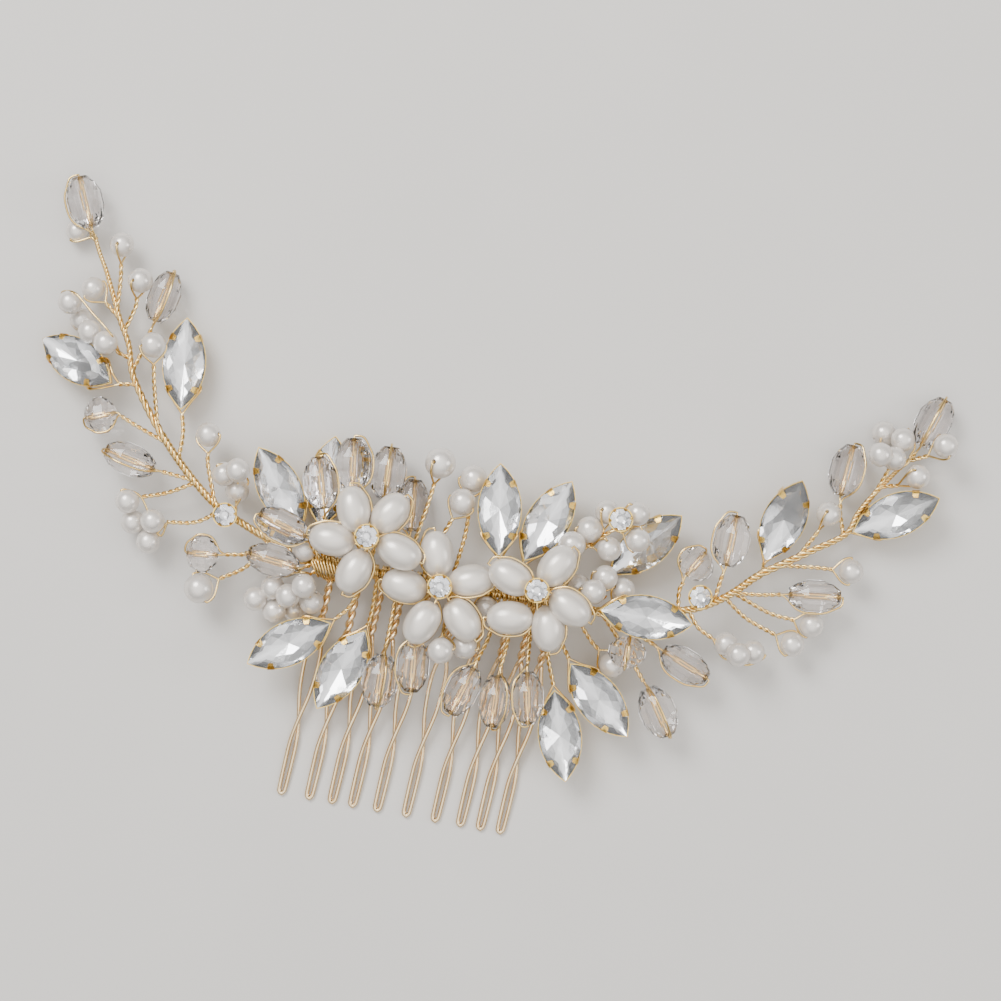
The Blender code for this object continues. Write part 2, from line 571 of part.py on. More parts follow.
def flowers(spray):
    spray.chaton("left_flower_stone", (-16.1, -2.4, 15.8), (-16.3, -8.0, 6.7), (-16.1, -3.2, 8.2))
    spray.chaton("middle_flower_stone", (-3.4, -8.2, 14.6), (-3.4, -8.0, 6.7), (-3.4, -8.2, 9.0))
    spray.chaton("right_flower_stone", (11.8, -6.0, 16.9), (11.6, -8.0, 6.7), (11.8, -6.2, 9.0))
    flower("left_flower_petals", (-16.1, -2.4, 12.2), (
        (-19.1, 1.4, 12.5, 108), (-13.3, 1.7, 11.6, 58), (-21.6, -3.9, 12.0, 180),
        (-10.7, -4.0, 12.9, -17), (-17.3, -8.3, 12.0, 252)))
    flower("middle_flower_petals", (-3.4, -8.2, 11.4), (
        (-4.8, -3.3, 10.6, 105), (-9.0, -9.2, 10.5, 175), (1.3, -6.6, 10.5, 18),
        (-5.2, -14.4, 12.5, 247), (1.0, -12.9, 12.0, -47)))
    flower("right_flower_petals", (11.8, -6.0, 13.0), (
        (7.4, -4.8, 13.3, 160), (14.3, -1.8, 13.1, 60), (8.4, -11.2, 12.2, 189),
        (17.5, -7.9, 13.6, -28), (14.7, -11.8, 12.2, -77)))


def fringe(spray):
    spray.marquise("fringe_marquise_stone_1", (-25.7, -21.7, 7.9), 216, 0,
                   (-15.4, -8.0, 6.6), (-17.0, -13.8, 7.0))
    spray.marquise("fringe_marquise_stone_2", (-16.8, -24.5, 5.7), 248, 0,
                   (-13.7, -8.0, 6.6), (-13.6, -14.0, 5.9))
    spray.marquise("fringe_marquise_stone_3", (24.9, -21.9, 7.4), -42, 0,
                   (15.7, -8.0, 6.6), (16.6, -12.5, 6.6))
    spray.marquise("fringe_marquise_stone_4", (19.8, -28.8, 5.8), -73, 0,
                   (12.6, -8.0, 6.6), (14.6, -14.0, 6.2))
    spray.crystal("fringe_crystal_1", (-10.3, -25.0, 7.6), 271, WIDE_CRYSTAL,
                  (-10.2, -8.0, 6.7), (-10.2, -15.0, 7.6))
    spray.crystal("fringe_crystal_2", (-5.4, -21.6, 9.6), 275, SLIM_CRYSTAL,
                  (-5.6, -8.0, 6.7), (-5.4, -12.0, 7.2))
    spray.crystal("fringe_crystal_3", (3.0, -24.2, 8.8), 253, SLIM_CRYSTAL,
                  (5.2, -8.0, 6.7), (5.8, -14.0, 7.4))
    spray.crystal("fringe_crystal_4", (8.5, -25.1, 6.4), 273, SLIM_CRYSTAL,
                  (8.6, -8.0, 6.7), (8.8, -15.0, 6.8))
    spray.crystal("fringe_crystal_5", (13.5, -23.4, 9.6), 281, SLIM_CRYSTAL,
                  (11.8, -8.0, 6.7), (12.2, -14.0, 7.6))
    spray.crystal("side_crystal_1", (37.6, -13.9, 6.0), -22, SLIM_CRYSTAL,
                  (25.0, -7.5, 6.1), (29.5, -10.4, 6.0))
    spray.crystal("side_crystal_2", (34.7, -22.2, 5.5), -56, WIDE_CRYSTAL,
                  (22.6, -7.8, 6.1), (27.5, -13.0, 4.3))
    spray.rondelle("side_round_crystal", (27.9, -13.4, 9.2), -90,
                   (20.6, -8.0, 6.4), (25.0, -8.9, 8.2))
    spray.pearl((-1.5, -18.3, 12.2), 4.2, (-1.5, -8.0, 6.7), (-1.6, -13.0, 7.4))
    spray.pearl((2.1, -17.2, 8.8), 4.1, (3.4, -8.0, 6.7), (3.0, -13.0, 7.4))
    spray.pearl((26.1, -16.1, 4.8), 4.2, (17.8, -8.0, 6.5), (21.8, -12.6, 5.0))
    spray.pearl((4.4, -10.4, 7.4), 3.6, (4.4, -8.0, 6.7))


comb()
binding("left_rail_binding", LEFT_BINDING_X, 2)
binding("right_rail_binding", RIGHT_BINDING_X, 1)
left_arm()
right_arm()
centre_wires()
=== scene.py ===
"""The finished look of a bridal hair comb: a ten-tooth wire comb that carries a hand-wired vine.

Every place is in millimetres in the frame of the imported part: +X along the comb's rail,
the teeth towards -Y, +Z out of the front.  MM turns millimetres into Blender's metres.
"""

from math import asin, cos, pi, radians, sin, sqrt

import bmesh
import bpy
from mathutils import Euler, Matrix, Vector


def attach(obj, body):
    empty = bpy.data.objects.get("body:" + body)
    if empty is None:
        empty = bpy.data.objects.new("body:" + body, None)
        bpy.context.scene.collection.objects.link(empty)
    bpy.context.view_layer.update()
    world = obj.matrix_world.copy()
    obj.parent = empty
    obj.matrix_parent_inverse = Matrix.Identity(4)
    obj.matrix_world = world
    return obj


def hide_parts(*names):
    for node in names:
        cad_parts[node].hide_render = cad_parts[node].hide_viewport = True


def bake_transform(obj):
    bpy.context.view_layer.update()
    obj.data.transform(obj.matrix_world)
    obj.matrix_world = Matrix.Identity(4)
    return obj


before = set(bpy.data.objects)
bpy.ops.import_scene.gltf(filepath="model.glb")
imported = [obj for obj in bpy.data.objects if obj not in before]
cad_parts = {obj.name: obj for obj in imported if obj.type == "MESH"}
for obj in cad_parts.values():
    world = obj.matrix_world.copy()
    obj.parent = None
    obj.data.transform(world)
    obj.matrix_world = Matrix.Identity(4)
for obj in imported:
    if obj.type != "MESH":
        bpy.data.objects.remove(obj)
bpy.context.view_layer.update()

MM = 0.001
UP = Vector((0.0, 0.0, 1.0))

# Points in one turn of anything wound or twisted
TURN_STEPS = 16

# Wire comb
RAIL_Y = -8.0
RAIL_Z = 5.3
TIP_Y = -47.0
TIP_Z = 0.36
TOOTH_LEAN = -2.2
TOOTH_CURL = 1.6
TOOTH_TOPS_X = (-21.0, -16.4, -12.6, -9.2, -5.1, -0.3, 4.5, 8.7, 12.0, 15.3)
COMB_WIRE_RADIUS = 0.35
SHANK_HALF_GAP = 0.45
CROSSING_LIFT = 0.45
SHANK_TURNS = 3
SHANK_START = 0.02
SHANK_END = 0.28
SHANK_TWIST = 0.37
RAIL_OVERHANG = 2.2
TOOTH_SHOULDER = 0.5

# A leg below its twist: share of the tooth's length, spread in half gaps, share of the crossing's lift
LEG_COURSE = ((0.32, 1.5, 0.0), (0.36, 2.2, 0.0), (0.43, 2.55, 0.0), (0.55, 1.9, 0.4), (0.67, 0.0, 1.0),
              (0.76, -1.1, 0.4), (0.85, -1.25, 0.0), (0.965, -1.1, 0.0), (0.98, -0.85, 0.0))

# Vine wire
CRAFT_WIRE = 0.2
TWIG_LAY = 2.2
STEM_RADIUS = 0.68
STEM_STRANDS = 3
STEM_LAY = 2.7
LOOP_WIRE = 0.18
LOOP_CLEARANCE = 0.08
LOOP_THROAT = 1.3
PEARL_THROAT = 1.1
SETTING_THROAT = 0.9
SHORTEST_TWIG = 0.6
STEM_SPACING = 0.2
TWIG_SPACING = 0.24
LOOP_SPACING = 0.3

# An arm's stem: how thin it is at its tip, and the share of its length over which it fills out
STEM_TIP_SHARE = 0.55
STEM_TAPER_SHARE = 0.6

# Winding round the rail: it wanders in two slow waves of (depth, rate, start)
BINDING_WIRE = 0.2
BINDING_PITCH = 0.52
BINDING_ENDS = (-24.6, 18.6)
BINDING_HALF_WIDTH = 1.12
BINDING_HALF_HEIGHT = 1.62
BINDING_Z = 6.05
WANDER = ((0.16, 0.37, 0.0), (0.1, 0.83, 1.0))

# Slanting winding over the left end of the first
KNOT_TURNS = 11
KNOT_PITCH = 0.5
KNOT_INSET = 0.4
KNOT_SLANT = 0.9
KNOT_DROP = 0.7
KNOT_HALF_WIDTH = 1.5
KNOT_HALF_HEIGHT = 1.9
KNOT_Z = 6.1

# Roots of the arms, and a step along X from each that goes to the arm stems, which only test that it is
# given
LEFT_HINGE = Vector((-36.5, -4.2, 6.0))
RIGHT_HINGE = Vector((32.5, -6.3, 6.0))
BEND_INSIDE = Vector((2.2, 0, 0))

# Findings
PEARL = 4.0
CLUSTER_PEARL = 3.9
PETAL_LENGTH = 7.4
PETAL_WIDTH = 5.35
CRYSTAL_LENGTH = 8.4
WIDE_CRYSTAL = 5.9
SLIM_CRYSTAL = 5.2
RONDELLE_LENGTH = 4.9
RONDELLE_WIDTH = 6.0
BEAD_BORE = 0.5
BEAD_SIDES = 12
STONE_HALF_LENGTH = 7.25
STONE_HALF_WIDTH = 3.45
SEAT_DEPTH = -1.3
SHEET = 0.2
CHATON_RADIUS = 1.72
NEST_RADIUS = 1.7
NEST_TURNS = 5
NEST_PITCH = 0.36
NEST_DEPTH = 0.5

# A marquise stone's rings: share of the length, share of the width, height, points, shift
MARQUISE_CUT = ((1.0, 1.0, 0.1, 16, 0.0), (1.0, 1.0, 0.75, 16, 0.0), (0.80, 0.79, 1.12, 12, 0.5),
                (0.54, 0.50, 1.42, 8, 0.0), (0.80, 0.72, -0.12, 12, 0.5))
MARQUISE_KEEL = (0.0, 0.0, -0.8)

# A chaton's rings: radius, height, points, shift
CHATON_CUT = ((CHATON_RADIUS, -0.02, 16, 0.0), (CHATON_RADIUS, 0.46, 16, 0.0), (1.35, 0.62, 8, 0.5),
              (0.85, 0.86, 8, 0.0), (1.15, -0.12, 8, 0.5), (0.5, -0.36, 8, 0.0))
CHATON_KEEL = (0.0, 0.0, -0.42)

# A bead's rings from its end to its belt: share of the half length, share of the width, shift
BEAD_CUT = ((1.0, 0.42, 0.0), (0.70, 0.78, 0.5), (0.28, 1.0, 0.0))

# A marquise setting's shell from its back, up outside and down inside: share of the stone, height
SETTING_SHELL = ((0.50, -1.12), (0.56, SEAT_DEPTH), (0.90, SEAT_DEPTH), (0.965, -1.1), (1.01, -0.2),
                 (1.03, 0.45), (1.005, 0.45), (1.003, 0.0), (0.93, -0.55), (0.6, -0.95))

# Its claws: place along the stone, lean towards its ends, then (out, up) and width up the claw
CLAW_STATION = 4.3
CLAW_LEAN = 0.42
CLAW_FOLD = ((0.14, -1.15), (0.18, 0.3), (0.16, 0.85), (-0.04, 1.12), (-0.45, 1.3), (-0.9, 1.42))
CLAW_WIDTHS = (1.2, 1.2, 1.15, 1.1, 1.0, 0.7)

# A chaton cup's shell: radius, height; and its claws, as above
CUP_SHELL = ((0.9, -1.1), (1.7, -1.1), (1.9, -0.8), (1.98, 0.0), (1.98, 0.2), (1.78, 0.2), (1.7, -0.4),
             (0.8, -0.9))
CUP_CLAWS = 6
CUP_CLAW_RADIUS = 1.82
CUP_CLAW_FOLD = ((0.08, -0.3), (0.1, 0.25), (-0.05, 0.55), (-0.35, 0.72))
CUP_CLAW_WIDTHS = (0.75, 0.7, 0.6, 0.35)

# A wire at a setting's near point, as (x, y, z) from the stone's middle
SETTING_NEAR = (-(STONE_HALF_LENGTH + 0.1), 0.0, -0.9)
SETTING_FORK = ((-6.2, 1.35, -0.8), (-4.9, 2.35, -0.75), (-3.9, 2.9, -0.95), (-3.0, 2.6, -1.35))

# Pearls that would cut into each other are moved up and down in small steps
LIFT_STEP = 0.08
LIFT_ROUNDS = 30

# Edges look sharp past the first two angles, and facets that meet flatter than the last are one
SOLID_EDGE = radians(40)
WIRE_EDGE = radians(60)
ONE_FACET = radians(1)

# Noise seldom leaves this range, and each finer layer of it is this much weaker
NOISE_LOW = 0.3
NOISE_HIGH = 0.7
NOISE_ROUGHNESS = 0.6

# Studio, in metres: lamps as (place, size, watts), and the room's glow from the sides to overhead
BOARD_HALF_SIZE = 1.2
KEY_LAMP = ((-0.34, 0.34, 0.55), 0.36, 5.0)
FILL_LAMP = ((0.60, 0.10, 0.35), 0.30, 1.2)
ROOM_LEVELS = (0.45, 0.93)
ROOM_GLOW = (0.22, 2.5)
ROOM_COLOUR = "F7F6F4"

# Camera
CAMERA_PLACE = Vector((3.66, 6.88, 426.0))
CAMERA_ROLL = radians(10.2)
LENS = 93.65
SENSOR_WIDTH = 36.0
NEAREST_SEEN = 0.01


# ---------------------------------------------------------------- materials

def linear(colour):
    """A Blender colour from an sRGB hex value."""
    channels = [int(colour[i:i + 2], 16) / 255 for i in (0, 2, 4)]
    return [c / 12.92 if c <= 0.04045 else ((c + 0.055) / 1.055) ** 2.4 for c in channels] + [1.0]


def add(tree, kind, inputs=None, **settings):
    """Add a node; each input is a plain value or the output that feeds it."""
    made = tree.nodes.new(kind)
    for name, value in settings.items():
        setattr(made, name, value)
    for name, value in (inputs or {}).items():
        if isinstance(value, bpy.types.NodeSocket):
            tree.links.new(value, made.inputs[name])
        else:
            made.inputs[name].default_value = value
    return made


def surface(name, tones, tone_size, gloss, gloss_size, grain_size, grain_depth,
            stretch=(1.0, 1.0, 1.0), **shader):
    """A finish whose tone, gloss and fine relief each vary over a size in millimetres."""
    made = bpy.data.materials.new(name)
    made.use_nodes = True
    tree = made.node_tree
    tree.nodes.clear()
    place = add(tree, "ShaderNodeTexCoord").outputs["Object"]
    place = add(tree, "ShaderNodeMapping", {"Vector": place, "Scale": stretch}).outputs["Vector"]
    tone = add(tree, "ShaderNodeTexNoise", {
        "Vector": place, "Scale": 1 / (tone_size * MM), "Detail": 3.0, "Roughness": NOISE_ROUGHNESS})
    colour = add(tree, "ShaderNodeMix", {
        "Factor": tone.outputs["Fac"], "A": linear(tones[0]), "B": linear(tones[1])},
        data_type="RGBA")
    spread = add(tree, "ShaderNodeTexNoise", {
        "Vector": place, "Scale": 1 / (gloss_size * MM), "Detail": 2.0})
    roughness = add(tree, "ShaderNodeMapRange", {
        "Value": spread.outputs["Fac"], "From Min": NOISE_LOW, "From Max": NOISE_HIGH,
        "To Min": gloss[0], "To Max": gloss[1]})
    grain = add(tree, "ShaderNodeTexNoise", {
        "Vector": place, "Scale": 1 / (grain_size * MM), "Detail": 4.0, "Roughness": NOISE_ROUGHNESS})
    relief = add(tree, "ShaderNodeBump", {
        "Height": grain.outputs["Fac"], "Strength": 1.0, "Distance": grain_depth * MM})
    body = add(tree, "ShaderNodeBsdfPrincipled", {
        "Base Color": colour.outputs["Result"], "Roughness": roughness.outputs["Result"],
        "Normal": relief.outputs["Normal"]})
    for socket, value in shader.items():
        body.inputs[socket.replace("_", " ")].default_value = value
    add(tree, "ShaderNodeOutputMaterial", {"Surface": body.outputs["BSDF"]})
    return made


# Gilt copper craft wire, drawn and lacquered: pale champagne where it shines, warm copper in its lays.
GILT_WIRE = surface("gilt_copper_craft_wire", ("D9AF62", "F8E0A4"), 2.5, (0.13, 0.26), 1.2, 0.12, 0.006,
                    Metallic=1.0)

# Gilt steel spring wire, hard drawn: smoother and paler than the vine, with faint die lines.
TOOTH_WIRE = surface("gilt_steel_spring_wire", ("E5C08A", "FBE7C2"), 4.0, (0.12, 0.24), 2.0, 0.10, 0.005,
                     Metallic=1.0)

# Stamped brass under a yellow gold flash: richer and more polished than the wire.
BRASS = surface("gold_flashed_stamped_brass", ("E6B64A", "FFE592"), 1.0, (0.20, 0.36), 0.6, 0.15, 0.012,
                Metallic=1.0)

# How far red, green and blue light goes into pearl lacquer, in metres.
PEARL_SCATTER = (0.0012, 0.001, 0.0008)

# Dipped glass pearl: pearl lacquer over a glass ball, bright and even, ivory with a cool white bloom.
# Part metallic, for the mirror-like flakes in the lacquer.
PEARL_LACQUER = surface("dipped_glass_pearl", ("D6CEC5", "EAE5E0"), 1.6, (0.24, 0.34), 1.0, 0.25, 0.005,
                        Metallic=0.4, Coat_Weight=0.5, Coat_Roughness=0.1, Subsurface_Weight=0.05,
                        Subsurface_Radius=PEARL_SCATTER)

# Rice pearl: the same lacquer on a moulded oval, satin, with fine streaks along its length.
RICE_PEARL = surface("satin_rice_pearl", ("D9D0C5", "EDE8E1"), 1.4, (0.28, 0.40), 0.9, 0.3, 0.012,
                     stretch=(1.0, 1.0, 0.2), Metallic=0.35, Coat_Weight=0.35, Coat_Roughness=0.15,
                     Subsurface_Weight=0.05, Subsurface_Radius=PEARL_SCATTER)

# Clear crown glass, cut and fire polished: sharp facets with a breath of rose, a little softened.
CUT_GLASS = surface("fire_polished_clear_glass", ("FBF3F2", "FFFFFF"), 3.0, (0.0, 0.03), 1.5, 0.6, 0.002,
                    Transmission_Weight=1.0, IOR=1.52)

# Machine-cut lead-free crystal over foil: hard, colourless and very bright.
STONE_GLASS = surface("machine_cut_crystal", ("F8F8FA", "FFFFFF"), 3.0, (0.0, 0.03), 1.5, 0.6, 0.002,
                      Transmission_Weight=1.0, IOR=1.56)

# Silvered foil on the stone's lower facets, seen through it: a mirror with slight mottling.
FOIL = surface("silvered_foil_back", ("ECEDEF", "FDFDFD"), 0.8, (0.02, 0.09), 0.7, 0.4, 0.004,
               Metallic=0.9)

# Matt pulp board under the comb: pale, flat and faintly fibrous.
BOARD = surface("pale_card_board", ("CBC8C4", "D4D1CD"), 60.0, (0.75, 0.9), 20.0, 0.8, 0.02)


# ---------------------------------------------------------------- shapes

def direction(heading):
    """A level direction; heading is in degrees from +X."""
    return Vector((cos(radians(heading)), sin(radians(heading)), 0.0))


def finding_matrix(centre, heading, tilt=0.0):
    """Where a finding sits: its X points along heading and rises by tilt."""
    turn = Euler((0.0, -radians(tilt), radians(heading)))
    return Matrix.Translation(Vector(centre) * MM) @ turn.to_matrix().to_4x4()


def along_matrix(centre, axis, size=1.0):
    """A bead whose bore, its Z, points along axis."""
    turn = axis.to_track_quat("Z", "Y").to_matrix().to_4x4()
    return Matrix.Translation(Vector(centre) * MM) @ turn @ Matrix.Scale(size, 4)


def mesh_from(bm, name, smooth=False):
    bmesh.ops.recalc_face_normals(bm, faces=bm.faces)
    mesh = bpy.data.meshes.new(name)
    bm.to_mesh(mesh)
    bm.free()
    if smooth:
        mesh.shade_smooth()
        mesh.set_sharp_from_angle(angle=SOLID_EDGE)
    return mesh


def piece(name, mesh, finishes, place, body, stands_for=()):
    """Put one finished piece on its body, under its own name."""
    made = bpy.data.objects.new(name, mesh)
    bpy.context.scene.collection.objects.link(made)
    made.matrix_world = place
    if not mesh.materials:
        for finish in finishes:
            mesh.materials.append(finish)
    if stands_for:
        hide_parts(*stands_for)
    if body is not None:
        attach(made, body)
    return made


def smooth_route(points, spacing):
    """Points at an even spacing along a Catmull-Rom curve through a few given ones."""
    knots = [Vector(p) for p in points]
    knots = [2 * knots[0] - knots[1]] + knots + [2 * knots[-1] - knots[-2]]
    fine = []
    for before, start, end, after in zip(knots, knots[1:], knots[2:], knots[3:]):
        steps = max(2, int((end - start).length / spacing * 2))
        for step in range(steps):
            t = step / steps
            fine.append(0.5 * (2 * start + (end - before) * t
                               + (2 * before - 5 * start + 4 * end - after) * t ** 2
                               + (3 * start - before - 3 * end + after) * t ** 3))
    fine.append(knots[-2])
    even = [fine[0]]
    gone = 0.0
    for start, end in zip(fine, fine[1:]):
        gone += (end - start).length
        if gone >= spacing:
            even.append(end)
            gone = 0.0
    if gone > spacing / 3:
        even.append(fine[-1])
    else:
        even[-1] = fine[-1]
    return even


def laid(route, wires, radius, lay, turn=0.0, thin=None):
    """Wires laid round a route like a rope, touching each other; one turn takes lay."""
    ring = radius / sin(pi / wires)
    heading = (route[1] - route[0]).normalized()
    side = heading.cross(UP)
    if side.length < 0.1:
        side = heading.cross(Vector((0.0, 1.0, 0.0)))
    side.normalize()
    paths = [[] for _ in range(wires)]
    sizes = []
    gone = 0.0
    for i, point in enumerate(route):
        ahead = (route[min(i + 1, len(route) - 1)] - route[max(i - 1, 0)]).normalized()
        side = heading.rotation_difference(ahead).to_matrix() @ side
        heading = ahead
        lift = heading.cross(side)
        size = thin(i / (len(route) - 1)) if thin else 1.0
        sizes.append(radius * size)
        for wire, path in enumerate(paths):
            angle = turn + 2 * pi * (wire / wires + gone / (lay * size))
            path.append(point + ring * size * (side * cos(angle) + lift * sin(angle)))
        if i + 1 < len(route):
            gone += (route[i + 1] - point).length
    return [(path, sizes) for path in paths]


def wire_mesh(name, strands, sides=8):
    """Round wires as one mesh; a strand is its points with one radius or one for each point."""
    curve = bpy.data.curves.new(name, "CURVE")
    curve.dimensions = "3D"
    curve.bevel_depth = MM
    curve.bevel_resolution = (sides - 4) // 2
    curve.use_fill_caps = True
    for points, radius in strands:
        spline = curve.splines.new("POLY")
        spline.points.add(len(points) - 1)
        sizes = radius if isinstance(radius, list) else [radius] * len(points)
        for knot, point, size in zip(spline.points, points, sizes):
            knot.co = (*(Vector(point) * MM), 1.0)
            knot.radius = size
    guide = bpy.data.objects.new(name, curve)
    bpy.context.scene.collection.objects.link(guide)
    depsgraph = bpy.context.evaluated_depsgraph_get()
    mesh = bpy.data.meshes.new_from_object(guide.evaluated_get(depsgraph))
    bpy.data.objects.remove(guide)
    bpy.data.curves.remove(curve)
    mesh.name = name
    mesh.materials.clear()
    mesh.shade_smooth()
    mesh.set_sharp_from_angle(angle=WIRE_EDGE)
    return mesh


def turned(name, profile, steps, closed=False, smooth=True):
    """A profile of (radius, height) turned once round Z."""
    bm = bmesh.new()
    corners = [bm.verts.new((r * MM, 0.0, z * MM)) for r, z in profile]
    edges = [bm.edges.new(pair) for pair in zip(corners, corners[1:])]
    if closed:
        edges.append(bm.edges.new((corners[-1], corners[0])))
    bmesh.ops.spin(bm, geom=corners + edges, cent=(0, 0, 0), axis=(0, 0, 1),
                   angle=2 * pi, steps=steps, use_merge=True)
    bmesh.ops.remove_doubles(bm, verts=bm.verts, dist=0.001 * MM)
    return mesh_from(bm, name, smooth)


def bored_oval(name, half_length, half_width, bore, fullness=1.0, steps=36):
    """A round or oval pearl with its bore along Z and a softened lip at each end."""
    first = asin(min(0.9, (bore + 0.06) / half_width))
    arc = [first + (pi - 2 * first) * i / 26 for i in range(27)]
    outside = [(half_width * sin(a) ** fullness, half_length * cos(a)) for a in arc]
    top = outside[0][1] - 0.05
    return turned(name, outside + [(bore, -top), (bore, top)], steps, closed=True)


def vesica_half_width(along, half_length, half_width):
    """Half the width of a pointed oval, drawn by two arcs, at a distance from its middle."""
    arc = (half_length ** 2 + half_width ** 2) / (2 * half_width)
    return max(0.0, sqrt(arc ** 2 - along ** 2) - (arc - half_width))


def vesica_ring(half_length, half_width, height, count, shift=0.0):
    """count points round a pointed oval; shift moves them by a part of their spacing."""
    ring = []
    for i in range(count):
        angle = 2 * pi * (i + shift) / count
        x = half_length * cos(angle)
        width = vesica_half_width(x, half_length, half_width)
        ring.append((x, width if sin(angle) >= 0 else -width, height))
    return ring


def cut_solid(name, points, foiled_below=None):
    """The flat-faceted solid that wraps the points; facets below a height carry the foil."""
    bm = bmesh.new()
    for x, y, z in points:
        bm.verts.new((x * MM, y * MM, z * MM))
    bmesh.ops.remove_doubles(bm, verts=bm.verts, dist=0.01 * MM)
    hull = bmesh.ops.convex_hull(bm, input=bm.verts)
    loose = dict.fromkeys(v for v in hull["geom_interior"] + hull["geom_unused"]
                          if isinstance(v, bmesh.types.BMVert))
    bmesh.ops.delete(bm, geom=list(loose), context="VERTS")
    bmesh.ops.dissolve_limit(bm, angle_limit=ONE_FACET, verts=bm.verts, edges=bm.edges)
    if foiled_below is not None:
        for facet in bm.faces:
            facet.material_index = int(facet.calc_center_median().z < foiled_below * MM)
    return mesh_from(bm, name)


def marquise_stone():
    """Table, star and kite facets above the girdle; a keeled, foiled back below it."""
    points = []
    for length, width, *place in MARQUISE_CUT:
        points += vesica_ring(length * STONE_HALF_LENGTH, width * STONE_HALF_WIDTH, *place)
    return cut_solid("marquise_stone", points + [MARQUISE_KEEL], foiled_below=0.09)


def round_ring(radius, height, count, shift=0.0):
    """count points round a circle; shift moves them by a part of their spacing."""
    return [(radius * cos(2 * pi * (i + shift) / count), radius * sin(2 * pi * (i + shift) / count),
             height) for i in range(count)]


def chaton_stone():
    """A round stone with a table and kite facets above its girdle and a foiled back below."""
    points = [point for ring in CHATON_CUT for point in round_ring(*ring)]
    return cut_solid("chaton_stone", points + [CHATON_KEEL], foiled_below=-0.03)


def cut_bead(name, length, width):
    """A faceted oval bead: long facets round the belt, kites towards both ends, bored along X."""
    bm = bmesh.new()
    half = length / 2
    for end in (-1, 1):
        for along, across, shift in BEAD_CUT:
            for y, z, _ in round_ring(across * width / 2, 0.0, BEAD_SIDES, shift):
                bm.verts.new((end * along * half * MM, y * MM, z * MM))
    bmesh.ops.convex_hull(bm, input=bm.verts)
    bmesh.ops.dissolve_limit(bm, angle_limit=ONE_FACET, verts=bm.verts, edges=bm.edges)
    ends = [f for f in bm.faces if abs(f.normal.x) > 0.99]
    bmesh.ops.delete(bm, geom=ends, context="FACES_ONLY")
    rims = []
    for end in (-1, 1):
        outer = [e for e in bm.edges if e.is_boundary and e.verts[0].co.x * end > 0]
        rim = [bm.verts.new((end * half * MM, y * MM, z * MM))
               for y, z, _ in round_ring(BEAD_BORE, 0.0, BEAD_SIDES)]
        inner = [bm.edges.new((rim[i - 1], rim[i])) for i in range(BEAD_SIDES)]
        bmesh.ops.bridge_loops(bm, edges=outer + inner)
        rims.append(inner)
    bmesh.ops.bridge_loops(bm, edges=rims[0] + rims[1])
    return mesh_from(bm, name)


def claw(bm, foot, outward, profile, widths):
    """A bent tab of sheet metal; the profile is (out, up) from its foot."""
    across = Vector((-outward.y, outward.x, 0.0))
    rows = []
    for (out, up), width in zip(profile, widths):
        middle = foot + outward * out + UP * up
        rows.append([bm.verts.new((middle + across * width * side / 2) * MM) for side in (-1, 0, 1)])
    faces = []
    for low, high in zip(rows, rows[1:]):
        for i in (0, 1):
            faces.append(bm.faces.new((low[i], low[i + 1], high[i + 1], high[i])))
    # known fault: these faces have no normals yet, so both sides of the tab come out in one place
    bmesh.ops.solidify(bm, geom=faces, thickness=SHEET * MM)


def setting_cup(bm, rings):
    """A closed shell drawn through rings of points, the first and last capped."""
    loops = [[bm.verts.new(Vector(p) * MM) for p in ring] for ring in rings]
    for low, high in zip(loops, loops[1:]):
        for i in range(len(low)):
            bm.faces.new((low[i - 1], low[i], high[i], high[i - 1]))
    bm.faces.new(loops[0])
    bm.faces.new(loops[-1])


def marquise_setting():
    """A stamped cup with a recessed back and four claws folded over the stone."""
    bm = bmesh.new()
    setting_cup(bm, [vesica_ring(share * STONE_HALF_LENGTH, share * STONE_HALF_WIDTH, height, 32)
                     for share, height in SETTING_SHELL])
    edge = vesica_half_width(CLAW_STATION, STONE_HALF_LENGTH, STONE_HALF_WIDTH)
    for end in (-1, 1):
        for side in (-1, 1):
            outward = Vector((end * CLAW_LEAN, side, 0.0)).normalized()
            claw(bm, Vector((end * CLAW_STATION, side * edge, 0.0)), outward, CLAW_FOLD, CLAW_WIDTHS)
    return mesh_from(bm, "marquise_setting", smooth=True)


def chaton_cup():
    """A round cup with small claws all round its rim."""
    bm = bmesh.new()
    setting_cup(bm, [round_ring(radius, height, 28) for radius, height in CUP_SHELL])
    for x, y, _ in round_ring(1.0, 0.0, CUP_CLAWS, 0.25):
        outward = Vector((x, y, 0.0))
        claw(bm, outward * CUP_CLAW_RADIUS, outward, CUP_CLAW_FOLD, CUP_CLAW_WIDTHS)
    return mesh_from(bm, "chaton_cup", smooth=True)


MARQUISE_STONE = marquise_stone()
MARQUISE_SETTING = marquise_setting()
CHATON_STONE = chaton_stone()
CHATON_CUP = chaton_cup()
ROUND_PEARL = bored_oval("round_pearl", 1.0, 1.0, 0.13)
RICE_OVAL = bored_oval("rice_pearl", PETAL_LENGTH / 2, PETAL_WIDTH / 2, 0.3, 0.9)
BEADS = {width: cut_bead(f"oval_bead_{i}", CRYSTAL_LENGTH, width)
         for i, width in enumerate((WIDE_CRYSTAL, SLIM_CRYSTAL))}
BEADS[RONDELLE_WIDTH] = cut_bead("round_bead", RONDELLE_LENGTH, RONDELLE_WIDTH)


